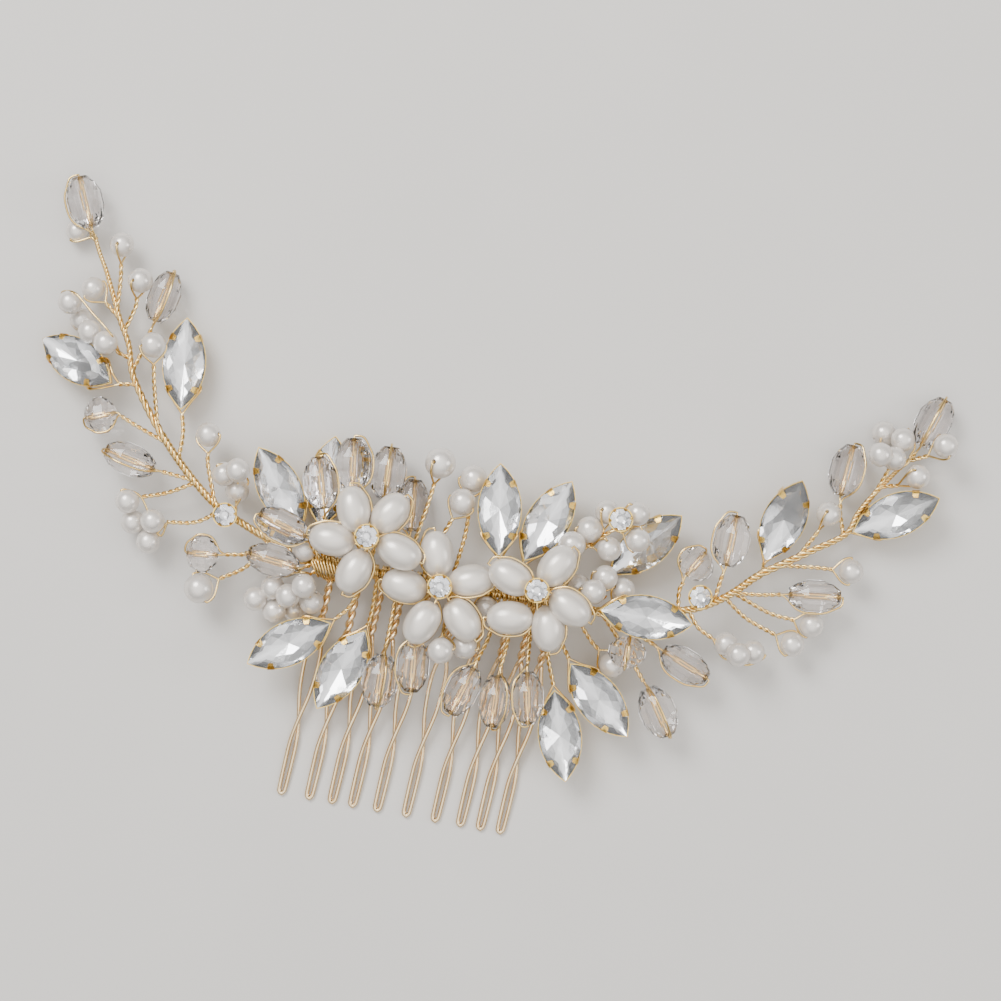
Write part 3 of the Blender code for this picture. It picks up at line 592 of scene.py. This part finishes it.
def loop_back(middle, along, loop, length, width):
    """A wire's way back beside a bead or petal, tip first; loop turns it round the bead's length."""
    side = Matrix.Rotation(radians(90 - loop), 3, along) @ UP.cross(along)
    gap = LOOP_WIRE + LOOP_CLEARANCE
    # (along, out) from the middle
    beside = ((0.5 * length + 0.42, 0.05 * width), (0.5 * length + 0.2, 0.22 * width + gap),
              (0.36 * length, 0.37 * width + gap), (0.16 * length, 0.49 * width + gap),
              (-0.16 * length, 0.49 * width + gap), (-0.36 * length, 0.37 * width + gap),
              (-0.5 * length - 0.3, 0.12 * width))
    return [middle + along * x + side * out for x, out in beside]


class Spray:
    """One bundle of vine wire with everything that is wired to it."""

    def __init__(self, name, body):
        self.name = name
        self.body = body
        self.strands = []
        self.pearls = 0

    def twig(self, *route):
        """Two craft wires twisted together."""
        path = smooth_route(route, TWIG_SPACING)
        turn = 0.7 * len(self.strands)
        self.strands += laid(path, 2, CRAFT_WIRE, TWIG_LAY, turn)

    def wire(self, *route):
        """One bare craft wire."""
        clear = [Vector((x, y, max(z, LOOP_WIRE))) for x, y, z in route]
        self.strands.append((smooth_route(clear, LOOP_SPACING), LOOP_WIRE))

    def reach(self, route, target, clear):
        """The twig up to a split point short of a finding; returns that point."""
        last = Vector(route[-1])
        target = Vector(target)
        split = target + (last - target).normalized() * clear
        if (last - target).length < clear + SHORTEST_TWIG:
            if len(route) > 1:
                self.twig(*route)
            return last
        self.twig(*route, split)
        return split

    def pearl(self, centre, diameter, *route, bore=20):
        """A pearl on a wire that splits, goes in at both ends of its bore and meets inside."""
        centre = Vector(centre)
        split = self.reach(route, centre, diameter / 2 + PEARL_THROAT)
        ahead = (centre - split).normalized()
        axis = ahead.cross(UP).normalized()
        axis = Matrix.Rotation(radians(bore), 3, ahead) @ axis
        half = diameter / 2
        # each leg: round the shoulder, out past the hole, back in at it, to the middle
        for side in (-1, 1):
            self.wire(split, centre + side * axis * (0.86 * half + 0.1) - ahead * (0.7 * half),
                      centre + side * axis * (half + 0.24) - ahead * (0.08 * half),
                      centre + side * axis * (half - 0.1), centre)
        self.pearls += 1
        self.set_pearl(f"{self.name}_pearl_{self.pearls}", centre, axis, diameter)

    def set_pearl(self, name, centre, axis, diameter, stands_for=()):
        piece(name, ROUND_PEARL, (PEARL_LACQUER,), along_matrix(centre, axis, diameter / 2),
              self.body, stands_for)

    def crystal(self, name, centre, heading, width, *route, length=CRYSTAL_LENGTH, loop=90):
        """A bored crystal; its wire goes through it and back along one side to the twig."""
        middle = Vector(centre)
        along = direction(heading)
        piece(name + "_glass", BEADS[width], (CUT_GLASS,), finding_matrix(centre, heading), name,
              (name,))
        split = self.reach(route, middle - along * (length / 2), LOOP_THROAT)
        back = loop_back(middle, along, loop, length, width)
        self.wire(split, middle - along * (length / 2 + 0.2), middle - along * 0.3 * length,
                  middle + along * 0.3 * length, middle + along * (length / 2 + 0.15), *back, split)

    def rondelle(self, name, centre, heading, *route, loop=90):
        self.crystal(name, centre, heading, RONDELLE_WIDTH, *route, length=RONDELLE_LENGTH, loop=loop)

    def marquise(self, name, centre, heading, tilt, *route):
        """A foiled stone in its setting, held by two wires that fork round its near point."""
        place = finding_matrix(centre, heading, tilt)
        piece(name + "_setting", MARQUISE_SETTING, (BRASS,), place, self.body)
        piece(name + "_cut", MARQUISE_STONE, (STONE_GLASS, FOIL), place, self.body, (name,))
        near = place @ (Vector(SETTING_NEAR) * MM) / MM
        split = self.reach(route, near, SETTING_THROAT)
        for side in (-1, 1):
            self.wire(split, *[place @ Vector((x * MM, side * y * MM, z * MM)) / MM
                               for x, y, z in SETTING_FORK])

    def chaton(self, name, centre, *route):
        """A round foiled stone in a clawed cup."""
        place = Matrix.Translation(Vector(centre) * MM)
        piece(name + "_cup", CHATON_CUP, (BRASS,), place, self.body)
        piece(name + "_cut", CHATON_STONE, (STONE_GLASS, FOIL), place, self.body, (name,))
        self.twig(*route, Vector(centre) - UP)

    def pearl_string(self, node, centres, start, side=90):
        """Pearls threaded on one wire that comes back along them to where it started."""
        beads = apart([Vector(c) for c in centres], CLUSTER_PEARL)
        for i, centre in enumerate(beads):
            ahead = beads[min(i + 1, len(beads) - 1)] - beads[max(i - 1, 0)]
            ahead = Vector((ahead.x, ahead.y, 0.3 * ahead.z)).normalized()
            self.set_pearl(f"{node}_{i + 1}", centre, ahead, CLUSTER_PEARL, (node,))
        first, last = beads[0], beads[-1]
        run = (last - first).normalized()
        out = Matrix.Rotation(radians(side), 3, run) @ UP
        out = (out - out.dot(run) * run).normalized() * (CLUSTER_PEARL / 2 + LOOP_WIRE + 0.05)
        tip = last + run * (CLUSTER_PEARL / 2 + 0.2)
        self.wire(start, first, *beads[1:], tip, last + out, (first + last) / 2 + out, first + out, start)

    def finish(self, *stands_for):
        piece(self.name + "_twigs", wire_mesh(self.name + "_twigs", self.strands), (GILT_WIRE,),
              Matrix.Identity(4), self.body, stands_for)


def apart(centres, diameter):
    """Lift and lower pearls that would cut into each other, until most of them only touch."""
    for _ in range(LIFT_ROUNDS):
        for i, one in enumerate(centres):
            for other in centres[:i]:
                flat = Vector((one.x - other.x, one.y - other.y))
                short = diameter ** 2 - flat.length_squared - (one.z - other.z) ** 2
                if short > 0.01:
                    step = LIFT_STEP if one.z >= other.z else -LIFT_STEP
                    one.z += step
                    other.z -= step
    return centres


# ---------------------------------------------------------------- the comb

def tooth_height(y):
    """The comb is curved: the teeth drop away from the rail and flatten at their tips."""
    return TIP_Z + (RAIL_Z - TIP_Z) * ((y - TIP_Y) / (RAIL_Y - TIP_Y)) ** TOOTH_CURL


def tooth_leg(top_x, side):
    """One leg of a tooth: twisted with its twin at the top, bowed, crossed once, then straight."""
    leg = []
    steps = TURN_STEPS * SHANK_TURNS
    for step in range(steps + 1):
        down = SHANK_START + (SHANK_END - SHANK_START) * step / steps
        angle = 2 * pi * SHANK_TURNS * step / steps
        y = RAIL_Y + down * (TIP_Y - RAIL_Y)
        leg.append((top_x + TOOTH_LEAN * down + side * SHANK_TWIST * cos(angle), y,
                    tooth_height(y) + side * SHANK_TWIST * sin(angle)))
    for down, spread, lift in LEG_COURSE:
        y = RAIL_Y + down * (TIP_Y - RAIL_Y)
        leg.append((top_x + TOOTH_LEAN * down + side * spread * SHANK_HALF_GAP, y,
                    tooth_height(y) + side * lift * CROSSING_LIFT))
    return leg


def comb():
    """The whole comb is one wire, bent back and forth into ten teeth."""
    path = [(TOOTH_TOPS_X[0] - RAIL_OVERHANG, RAIL_Y, RAIL_Z)]
    for top_x in TOOTH_TOPS_X:
        path.append((top_x - SHANK_HALF_GAP - TOOTH_SHOULDER, RAIL_Y, RAIL_Z))
        path.extend(tooth_leg(top_x, -1))
        path.append((top_x + TOOTH_LEAN, TIP_Y + COMB_WIRE_RADIUS, TIP_Z))
        path.extend(reversed(tooth_leg(top_x, 1)))
        path.append((top_x + SHANK_HALF_GAP + TOOTH_SHOULDER, RAIL_Y, RAIL_Z))
    path.append((TOOTH_TOPS_X[-1] + RAIL_OVERHANG, RAIL_Y, RAIL_Z))
    mesh = wire_mesh("comb_teeth", [(smooth_route(path, LOOP_SPACING), COMB_WIRE_RADIUS)], sides=10)
    piece("comb_teeth", mesh, (TOOTH_WIRE,), Matrix.Identity(4), "comb", ("comb_wire",))


def rail_binding():
    """Thin wire wound closely by hand round the rail and the stem, and again over its left end."""
    start, end = BINDING_ENDS
    winding = []
    for i in range(int((end - start) / BINDING_PITCH * TURN_STEPS) + 1):
        angle = 2 * pi * i / TURN_STEPS
        wander = sum(depth * sin(rate * angle + begin) for depth, rate, begin in WANDER)
        winding.append(Vector((start + BINDING_PITCH * i / TURN_STEPS + wander,
                               RAIL_Y + (BINDING_HALF_WIDTH + 0.06 * wander) * cos(angle),
                               BINDING_Z + (BINDING_HALF_HEIGHT + 0.3 * wander) * sin(angle))))
    knot = []
    steps = KNOT_TURNS * TURN_STEPS
    for i in range(steps + 1):
        angle = 2 * pi * i / TURN_STEPS
        swell = sin(pi * i / steps) + 0.25 * sin(0.61 * angle)
        knot.append(Vector((start + KNOT_INSET + KNOT_PITCH * i / TURN_STEPS - KNOT_SLANT * cos(angle),
                            RAIL_Y - KNOT_DROP + (KNOT_HALF_WIDTH + 0.6 * swell) * cos(angle),
                            KNOT_Z + (KNOT_HALF_HEIGHT + 0.5 * swell) * sin(angle))))
    mesh = wire_mesh("rail_binding", [(winding, BINDING_WIRE), (knot, LOOP_WIRE)])
    piece("rail_binding", mesh, (GILT_WIRE,), Matrix.Identity(4), "comb",
          ("left_rail_binding", "right_rail_binding"))


def stem(name, route, body, thin=None, blend_from=None):
    """Three wires laid into a cord; an arm's stem goes on no body, with its place baked into its mesh."""
    strand = STEM_RADIUS / (1 + 1 / sin(pi / STEM_STRANDS))
    path = smooth_route(route, STEM_SPACING)
    mesh = wire_mesh(name, laid(path, STEM_STRANDS, strand, STEM_LAY, thin=thin))
    made = piece(name, mesh, (GILT_WIRE,), Matrix.Identity(4), None if blend_from else body)
    if blend_from:
        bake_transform(made)


def thinner_to_tip(share):
    """An arm stem's thickness at a share of its length from the tip: thin there, full further on."""
    return min(1.0, STEM_TIP_SHARE + (1 - STEM_TIP_SHARE) * share / STEM_TAPER_SHARE)


def left_arm():
    stem("left_arm_stem", (
        (-68.6, 37.2, 3.4), (-67.4, 34.8, 3.4), (-65.5, 31.5, 3.5), (-62.3, 25.0, 4.0),
        (-60.0, 21.0, 4.5), (-58.5, 16.5, 5.0), (-55.0, 11.3, 5.5), (-50.0, 5.5, 6.0),
        (-45.0, 0.8, 6.2), (-41.0, -2.2, 6.1), LEFT_HINGE, (-33.6, -5.4, 5.8)), "left_arm",
        thinner_to_tip, LEFT_HINGE + BEND_INSIDE)
    arm = Spray("left_arm", "left_arm")
    arm.crystal("left_tip_crystal", (-71.0, 42.5, 4.4), 114, WIDE_CRYSTAL, (-68.4, 36.9, 3.4), loop=90)
    arm.crystal("left_upper_crystal", (-56.0, 29.7, 3.3), 79, SLIM_CRYSTAL,
                (-58.6, 17.0, 4.9), (-57.6, 21.0, 4.0), loop=-20)
    arm.crystal("left_lower_crystal", (-56.5, 2.8, 5.0), 168, SLIM_CRYSTAL, (-45.5, 1.3, 6.2), loop=20)
    arm.rondelle("left_round_crystal", (-62.5, 9.0, 4.2), 200, (-50.8, 6.4, 5.9), (-56.0, 8.2, 4.8), loop=60)
    arm.marquise("left_marquise_stone_upper", (-67.7, 17.0, 4.5), 158, -20, (-57.6, 14.9, 5.1))
    arm.marquise("left_marquise_stone_inner", (-50.6, 19.6, 4.5), 96, 0,
                 (-48.6, 4.2, 6.0), (-48.8, 8.5, 4.8))
    arm.chaton("left_chaton_stone", (-39.4, -3.2, 8.8), (-39.4, -3.1, 6.1))
    arm.pearl((-72.0, 37.9, 1.95), 3.6, (-68.5, 37.0, 3.3))
    arm.pearl((-64.0, 36.8, 4.3), 4.0, (-63.0, 26.5, 3.9), (-63.2, 31.0, 4.3), bore=75)
    arm.pearl((-59.7, 31.5, 6.5), 4.0, (-61.2, 23.0, 4.2), (-59.9, 27.0, 5.6), bore=60)
    arm.pearl((-67.4, 29.0, 4.0), 3.8, (-62.3, 25.0, 4.0), bore=10)
    arm.pearl((-55.7, 21.6, 7.6), 4.1, (-53.0, 9.0, 5.7), (-54.4, 15.0, 7.0), bore=30)
    arm.pearl((-44.6, 9.0, 6.0), PEARL, (-41.6, -1.8, 6.1), (-43.7, 4.0, 6.4), bore=-25)
    arm.twig((-59.3, 18.8, 4.7), (-61.7, 19.6, 5.4))
    arm.twig((-38.2, -3.7, 6.0), (-38.2, -1.75, 6.0))
    arm.twig((-45.3, 1.0, 6.1), (-49.5, -1.4, 5.6), (-53.8, -2.9, 5.0))
    arm.twig((-40.5, -2.6, 6.1), (-44.0, -5.2, 5.6), (-48.7, -6.1, 5.1))
    arm.pearl_string("left_pearl_strand", ((-63.3, 20.6, 6.1), (-66.4, 22.0, 5.8), (-68.5, 23.7, 5.0),
                                           (-70.4, 26.1, 5.0)), (-61.2, 19.6, 5.2), side=50)
    arm.pearl_string("left_pearl_trio", ((-38.6, 0.9, 6.0), (-38.6, 4.2, 7.8), (-40.9, 3.2, 6.0)),
                     (-38.2, -1.75, 6.0))
    arm.pearl_string("left_pearl_quartet", ((-51.3, -9.8, 5.0), (-51.0, -6.3, 5.0), (-54.4, -7.1, 5.0),
                                            (-55.6, -3.9, 5.0)), (-48.7, -6.1, 5.1))
    arm.finish("left_arm_wire")


def right_arm():
    stem("right_arm_stem", (
        (68.4, 25.8, 3.5), (65.8, 22.6, 3.9), (62.9, 18.4, 4.4), (60.9, 14.9, 4.7), (59.6, 11.4, 5.0),
        (54.9, 8.0, 5.5), (50.5, 5.0, 5.8), (46.6, 2.2, 6.0), (42.4, -1.8, 6.1), (37.9, -4.6, 6.1),
        RIGHT_HINGE, (29.6, -6.9, 6.05)), "right_arm",
        thinner_to_tip, RIGHT_HINGE - BEND_INSIDE)
    arm = Spray("right_arm", "right_arm")
    arm.crystal("right_tip_crystal", (70.6, 31.7, 3.2), 72, WIDE_CRYSTAL, (67.8, 25.0, 3.6), loop=10)
    arm.crystal("right_outer_crystal", (58.2, 21.6, 3.4), 85, WIDE_CRYSTAL,
                (59.2, 11.2, 5.0), (58.2, 14.5, 4.2), loop=-50)
    arm.crystal("right_upper_crystal", (41.5, 7.1, 6.0), 88, WIDE_CRYSTAL,
                (40.4, -3.1, 6.1), (40.9, 0.5, 6.0), loop=80)
    arm.crystal("right_lower_crystal", (56.2, 0.7, 6.1), 7, SLIM_CRYSTAL,
                (43.0, -1.2, 6.1), (47.5, -0.7, 6.0), loop=-80)
    arm.rondelle("right_round_crystal", (36.5, 2.4, 6.0), 60, (35.0, -5.6, 6.0), (34.6, -2.5, 6.0), loop=70)
    arm.marquise("right_marquise_stone_inner", (49.2, 11.9, 6.2), 77, 20,
                 (47.4, 3.0, 5.7), (47.6, 4.4, 2.9))
    arm.marquise("right_marquise_stone_outer", (67.0, 15.9, 5.6), 32, 12,
                 (59.6, 11.4, 4.6), (60.2, 11.8, 3.1))
    arm.chaton("right_chaton_stone", (37.9, -2.7, 9.0), (37.9, -4.4, 6.2), (37.9, -3.0, 7.2))
    arm.pearl((56.3, 14.1, 5.0), PEARL, (52.5, 6.4, 5.7), (54.8, 10.5, 5.2), bore=70)
    arm.pearl((69.3, 22.6, 5.5), PEARL, (63.9, 20.0, 4.2), (66.4, 20.6, 5.0), bore=50)
    arm.pearl((72.6, 28.2, 7.2), PEARL, (67.8, 25.0, 3.7), (70.3, 26.2, 5.6), bore=-30)
    arm.pearl((61.5, 5.6, 5.0), PEARL, (49.8, 4.5, 5.8), (55.5, 5.2, 5.2), bore=0)
    arm.pearl((56.8, -4.1, 4.4), PEARL, (43.2, -1.1, 6.0), (49.5, -3.3, 5.0), bore=15)
    arm.pearl((54.2, -7.7, 5.0), PEARL, (42.0, -2.1, 6.1), (46.0, -4.8, 5.6), bore=-15)
    arm.twig((36.6, -5.1, 6.1), (38.6, -7.6, 6.0), (41.3, -9.0, 6.0))
    arm.twig((62.9, 18.4, 4.4), (63.9, 21.0, 4.8), (64.5, 22.9, 5.2))
    arm.pearl_string("right_pearl_quartet", ((65.0, 24.8, 5.8), (62.4, 24.9, 5.9), (63.1, 28.7, 4.2),
                                             (66.0, 28.1, 5.0)), (64.5, 22.9, 5.2))
    arm.pearl_string("right_pearl_trio", ((43.6, -9.5, 6.0), (45.5, -10.7, 7.0), (48.1, -10.0, 6.0)),
                     (41.3, -9.0, 6.0))
    arm.finish("right_arm_wire")


def centre():
    """The stem bound to the rail, with every twig that leaves it above and below."""
    stem("centre_stem", (
        (-34.2, -5.1, 5.8), (-32.0, -6.0, 5.7), (-28.0, -7.3, 6.0), (-24.0, -8.0, 6.6), (-12.0, -8.0, 6.6),
        (0.0, -8.0, 6.6), (14.0, -8.0, 6.6), (20.0, -8.0, 6.3), (26.0, -7.4, 6.1), (30.2, -6.8, 6.05)),
        "comb")
    spray = Spray("centre", "comb")
    above_rail(spray)
    flowers(spray)
    fringe(spray)
    spray.finish("centre_wire")


def above_rail(spray):
    spray.marquise("fan_marquise_stone_left", (-31.8, 2.5, 5.4), 127, 0, (-26.8, -7.5, 6.1))
    spray.marquise("fan_marquise_stone_low", (-24.4, 5.0, 2.8), 91, 0,
                   (-21.7, -8.0, 6.4), (-22.0, -5.0, 3.4))
    spray.marquise("crown_marquise_stone_left", (3.8, 5.4, 9.8), 99, 0,
                   (6.5, -8.0, 6.6), (6.4, -4.5, 7.0))
    spray.marquise("crown_marquise_stone_right", (11.8, 5.0, 6.7), 69, 0,
                   (9.7, -8.0, 6.5), (9.4, -5.0, 5.8))
    spray.marquise("crown_marquise_stone_outer", (28.2, 4.1, 5.2), 50, 10,
                   (18.7, -8.0, 6.2), (20.5, -5.0, 3.6))
    spray.marquise("side_marquise_stone", (29.8, -7.3, 11.4), 1, 0,
                   (20.0, -8.0, 6.3), (21.3, -8.3, 9.3))
    spray.chaton("crown_chaton_stone", (23.0, 7.3, 12.3),
                 (16.6, -8.0, 6.6), (16.2, -2.0, 6.4), (18.2, 1.6, 6.6), (22.6, 5.8, 8.2))
    spray.crystal("fan_crystal_1", (-24.9, 4.6, 10.8), 106, WIDE_CRYSTAL,
                  (-22.9, -7.9, 6.8), (-23.0, -5.0, 7.6), loop=-60)
    spray.crystal("fan_crystal_2", (-20.6, 8.4, 8.2), 98, WIDE_CRYSTAL,
                  (-16.6, -8.0, 6.7), (-17.8, -3.5, 6.9), (-19.8, 1.5, 7.6), loop=-85)
    spray.crystal("fan_crystal_3", (-15.0, 8.1, 5.5), 92, WIDE_CRYSTAL,
                  (-15.3, -8.0, 6.3), (-14.9, -2.0, 5.6), loop=0)
    spray.crystal("fan_crystal_4", (-10.2, 3.6, 3.2), 95, SLIM_CRYSTAL,
                  (-9.8, -8.0, 6.2), (-9.7, -4.0, 3.8), loop=70)
    spray.crystal("fan_crystal_5", (-29.8, -3.2, 10.5), 164, SLIM_CRYSTAL,
                  (-23.4, -7.9, 6.9), (-23.6, -7.2, 8.6), loop=80)
    spray.crystal("fan_crystal_6", (-30.5, -9.0, 8.7), 173, SLIM_CRYSTAL,
                  (-23.8, -8.0, 6.7), (-24.7, -8.8, 8.0), loop=150)
    spray.rondelle("knot_round_crystal", (-42.1, -10.1, 6.0), 186,
                   (-31.0, -6.4, 5.7), (-35.0, -8.8, 5.4), loop=-75)
    spray.pearl((-26.0, -6.4, 7.8), PEARL, (-24.0, -8.0, 6.7))
    spray.pearl((-41.7, -15.7, 6.0), 4.8, (-32.0, -6.0, 5.7), (-34.8, -10.8, 5.0), bore=10)
    spray.pearl((-6.9, 11.1, 8.0), 5.0, (-8.5, -8.0, 6.6), (-8.8, -3.0, 6.9), (-7.6, 5.0, 7.6), bore=65)
    spray.pearl((-2.3, 5.6, 7.9), 4.3, (-6.5, -8.0, 6.6), (-5.5, -3.0, 6.6), bore=-20)
    spray.pearl((-1.2, 9.6, 6.2), 4.4, (-2.0, -8.0, 6.3), (-1.0, 0.0, 5.4), bore=10)
    spray.pearl((16.2, 1.9, 9.4), 4.4, (16.6, -1.5, 6.4))
    spray.pearl((18.6, 4.8, 7.3), 4.3, (18.2, 1.6, 6.6))
    spray.pearl((20.9, 8.1, 6.7), CLUSTER_PEARL, (20.8, 4.2, 7.3), bore=60)
    spray.pearl((25.7, 8.7, 9.0), CLUSTER_PEARL, (22.6, 5.9, 8.4))
    spray.pearl((26.4, 4.5, 10.5), CLUSTER_PEARL, (22.6, 5.7, 8.4))
    spray.pearl((22.2, 2.3, 8.6), CLUSTER_PEARL, (18.8, 2.2, 6.8), bore=45)
    spray.pearl((22.4, -2.3, 8.6), PEARL, (19.5, -8.0, 6.3), (20.8, -5.2, 7.6))
    spray.pearl((20.8, -4.8, 11.7), PEARL, (19.3, -8.0, 6.4), (19.8, -7.4, 9.0))
    spray.pearl((18.4, -4.5, 7.6), PEARL, (17.6, -8.0, 6.6))
    spray.pearl((25.6, -3.8, 6.6), PEARL, (24.5, -7.6, 6.1), bore=40)
    spray.twig((-22.7, -8.0, 6.7), (-23.6, -9.5, 7.4), (-24.2, -10.1, 7.8))
    spray.pearl_string("knot_pearl_cluster", (
        (-24.8, -12.1, 8.5), (-23.4, -14.6, 7.0), (-26.1, -16.6, 5.0), (-27.2, -14.2, 7.9),
        (-29.2, -17.1, 5.8), (-32.5, -15.7, 6.0), (-30.0, -13.4, 6.1)), (-24.2, -10.1, 7.8))


def flower(spray, name, centre, petals, loops):
    """Five rice pearls round a stone, each with its wire back along one side, over a wound nest."""
    middle = Vector(centre)
    for i, ((x, y, z, heading), loop) in enumerate(zip(petals, loops)):
        along = direction(heading)
        petal = Vector((x, y, z))
        place = along_matrix(petal, along)
        piece(f"{name}_petal_{i + 1}", RICE_OVAL, (RICE_PEARL,), place, "comb", (name + "_petals",))
        root = petal - along * (PETAL_LENGTH / 2 + 0.3)
        back = loop_back(petal, along, loop, PETAL_LENGTH, PETAL_WIDTH)
        spray.wire(middle, root, petal, petal + along * (PETAL_LENGTH / 2 + 0.1), *back, root)
    nest = []
    for i in range(TURN_STEPS * NEST_TURNS + 1):
        angle = 2 * pi * i / TURN_STEPS
        nest.append(middle + Vector((NEST_RADIUS * cos(angle), NEST_RADIUS * sin(angle),
                                     -NEST_DEPTH + NEST_PITCH * i / TURN_STEPS)))
    spray.strands.append((nest, LOOP_WIRE))


def flowers(spray):
    spray.chaton("left_flower_stone", (-16.1, -2.4, 15.8), (-16.3, -8.0, 6.7), (-16.1, -3.2, 8.2))
    spray.chaton("middle_flower_stone", (-3.4, -8.2, 14.6), (-3.4, -8.0, 6.7), (-3.4, -8.2, 9.0))
    spray.chaton("right_flower_stone", (11.8, -6.0, 16.9), (11.6, -8.0, 6.7), (11.8, -6.2, 9.0))
    flower(spray, "left_flower", (-16.1, -2.4, 12.2), (
        (-19.1, 1.4, 12.5, 108), (-13.3, 1.7, 11.6, 58), (-21.6, -3.9, 12.0, 180),
        (-10.7, -4.0, 12.9, -17), (-17.3, -8.3, 12.0, 252)), (-100, -100, -75, 110, 100))
    flower(spray, "middle_flower", (-3.4, -8.2, 11.4), (
        (-4.8, -3.3, 10.6, 105), (-9.0, -9.2, 10.5, 175), (1.3, -6.6, 10.5, 18),
        (-5.2, -14.4, 12.5, 247), (1.0, -12.9, 12.0, -47)), (110, 110, -60, 120, 100))
    flower(spray, "right_flower", (11.8, -6.0, 13.0), (
        (7.4, -4.8, 13.3, 160), (14.3, -1.8, 13.1, 60), (8.4, -11.2, 12.2, 189),
        (17.5, -7.9, 13.6, -28), (14.7, -11.8, 12.2, -77)), (-80, -100, 85, 75, 100))


def fringe(spray):
    spray.marquise("fringe_marquise_stone_1", (-25.7, -21.7, 7.9), 216, 0,
                   (-15.4, -8.0, 6.6), (-17.0, -13.8, 7.0))
    spray.marquise("fringe_marquise_stone_2", (-16.8, -24.5, 5.7), 248, 0,
                   (-13.7, -8.0, 6.6), (-13.6, -14.0, 5.9))
    spray.marquise("fringe_marquise_stone_3", (24.9, -21.9, 7.4), -42, 0,
                   (15.7, -8.0, 6.6), (16.6, -12.5, 6.6))
    spray.marquise("fringe_marquise_stone_4", (19.8, -28.8, 5.8), -73, 0,
                   (12.6, -8.0, 6.6), (14.6, -14.0, 6.2))
    spray.crystal("fringe_crystal_1", (-10.3, -25.0, 7.6), 271, WIDE_CRYSTAL,
                  (-10.2, -8.0, 6.7), (-10.2, -15.0, 7.6), loop=15)
    spray.crystal("fringe_crystal_2", (-5.4, -21.6, 9.6), 275, SLIM_CRYSTAL,
                  (-5.6, -8.0, 6.7), (-5.4, -12.0, 7.2), loop=-80)
    spray.crystal("fringe_crystal_3", (3.0, -24.2, 8.8), 253, SLIM_CRYSTAL,
                  (5.2, -8.0, 6.7), (5.8, -14.0, 7.4), loop=-80)
    spray.crystal("fringe_crystal_4", (8.5, -25.1, 6.4), 273, SLIM_CRYSTAL,
                  (8.6, -8.0, 6.7), (8.8, -15.0, 6.8), loop=40)
    spray.crystal("fringe_crystal_5", (13.5, -23.4, 9.6), 281, SLIM_CRYSTAL,
                  (11.8, -8.0, 6.7), (12.2, -14.0, 7.6), loop=-60)
    spray.crystal("side_crystal_1", (37.6, -13.9, 6.0), -22, SLIM_CRYSTAL,
                  (25.0, -7.5, 6.1), (29.5, -10.4, 6.0), loop=-80)
    spray.crystal("side_crystal_2", (34.7, -22.2, 5.5), -56, WIDE_CRYSTAL,
                  (22.6, -7.8, 6.1), (27.5, -13.0, 4.3), loop=10)
    spray.rondelle("side_round_crystal", (27.9, -13.4, 9.2), -90,
                   (20.6, -8.0, 6.4), (25.0, -8.9, 8.2), loop=0)
    spray.pearl((-1.5, -18.3, 12.2), 4.2, (-1.5, -8.0, 6.7), (-1.6, -13.0, 7.4))
    spray.pearl((2.1, -17.2, 8.8), 4.1, (3.4, -8.0, 6.7), (3.0, -13.0, 7.4))
    spray.pearl((26.1, -16.1, 4.8), 4.2, (17.8, -8.0, 6.5), (21.8, -12.6, 5.0))
    spray.pearl((4.4, -10.4, 7.4), 3.6, (4.4, -8.0, 6.7))


# ---------------------------------------------------------------- studio

def softbox(name, place, size, power):
    """A round soft lamp turned towards the middle of the comb."""
    light = bpy.data.lights.new(name, "AREA")
    light.shape = "DISK"
    light.size = size
    light.energy = power
    made = bpy.data.objects.new(name, light)
    made.location = place
    made.rotation_mode = "QUATERNION"
    made.rotation_quaternion = (-Vector(place)).to_track_quat("-Z", "Y")
    bpy.context.scene.collection.objects.link(made)


def studio():
    """A pale board, a soft key from the upper left, a weaker fill, and a room that is bright overhead."""
    bm = bmesh.new()
    bmesh.ops.create_grid(bm, x_segments=24, y_segments=24, size=BOARD_HALF_SIZE)
    board = bpy.data.objects.new("board", mesh_from(bm, "board"))
    board.data.materials.append(BOARD)
    bpy.context.scene.collection.objects.link(board)
    softbox("key_softbox", *KEY_LAMP)
    softbox("fill_softbox", *FILL_LAMP)
    world = bpy.data.worlds.new("studio_room")
    world.use_nodes = True
    tree = world.node_tree
    around = add(tree, "ShaderNodeTexCoord").outputs["Generated"]
    height = add(tree, "ShaderNodeSeparateXYZ", {"Vector": around}).outputs["Z"]
    glow = add(tree, "ShaderNodeMapRange", {
        "Value": height, "From Min": ROOM_LEVELS[0], "From Max": ROOM_LEVELS[1],
        "To Min": ROOM_GLOW[0], "To Max": ROOM_GLOW[1]})
    sky = tree.nodes["Background"]
    sky.inputs["Color"].default_value = linear(ROOM_COLOUR)
    tree.links.new(glow.outputs["Result"], sky.inputs["Strength"])
    bpy.context.scene.world = world


def camera():
    """Straight above the comb, which it sees turned a little clockwise."""
    lens = bpy.data.cameras.new("camera")
    lens.lens = LENS
    lens.sensor_width = SENSOR_WIDTH
    lens.clip_start = NEAREST_SEEN
    made = bpy.data.objects.new("camera", lens)
    made.location = CAMERA_PLACE * MM
    made.rotation_euler = (0.0, 0.0, CAMERA_ROLL)
    bpy.context.scene.collection.objects.link(made)
    bpy.context.scene.camera = made


camera()
studio()
comb()
rail_binding()
left_arm()
right_arm()
centre()
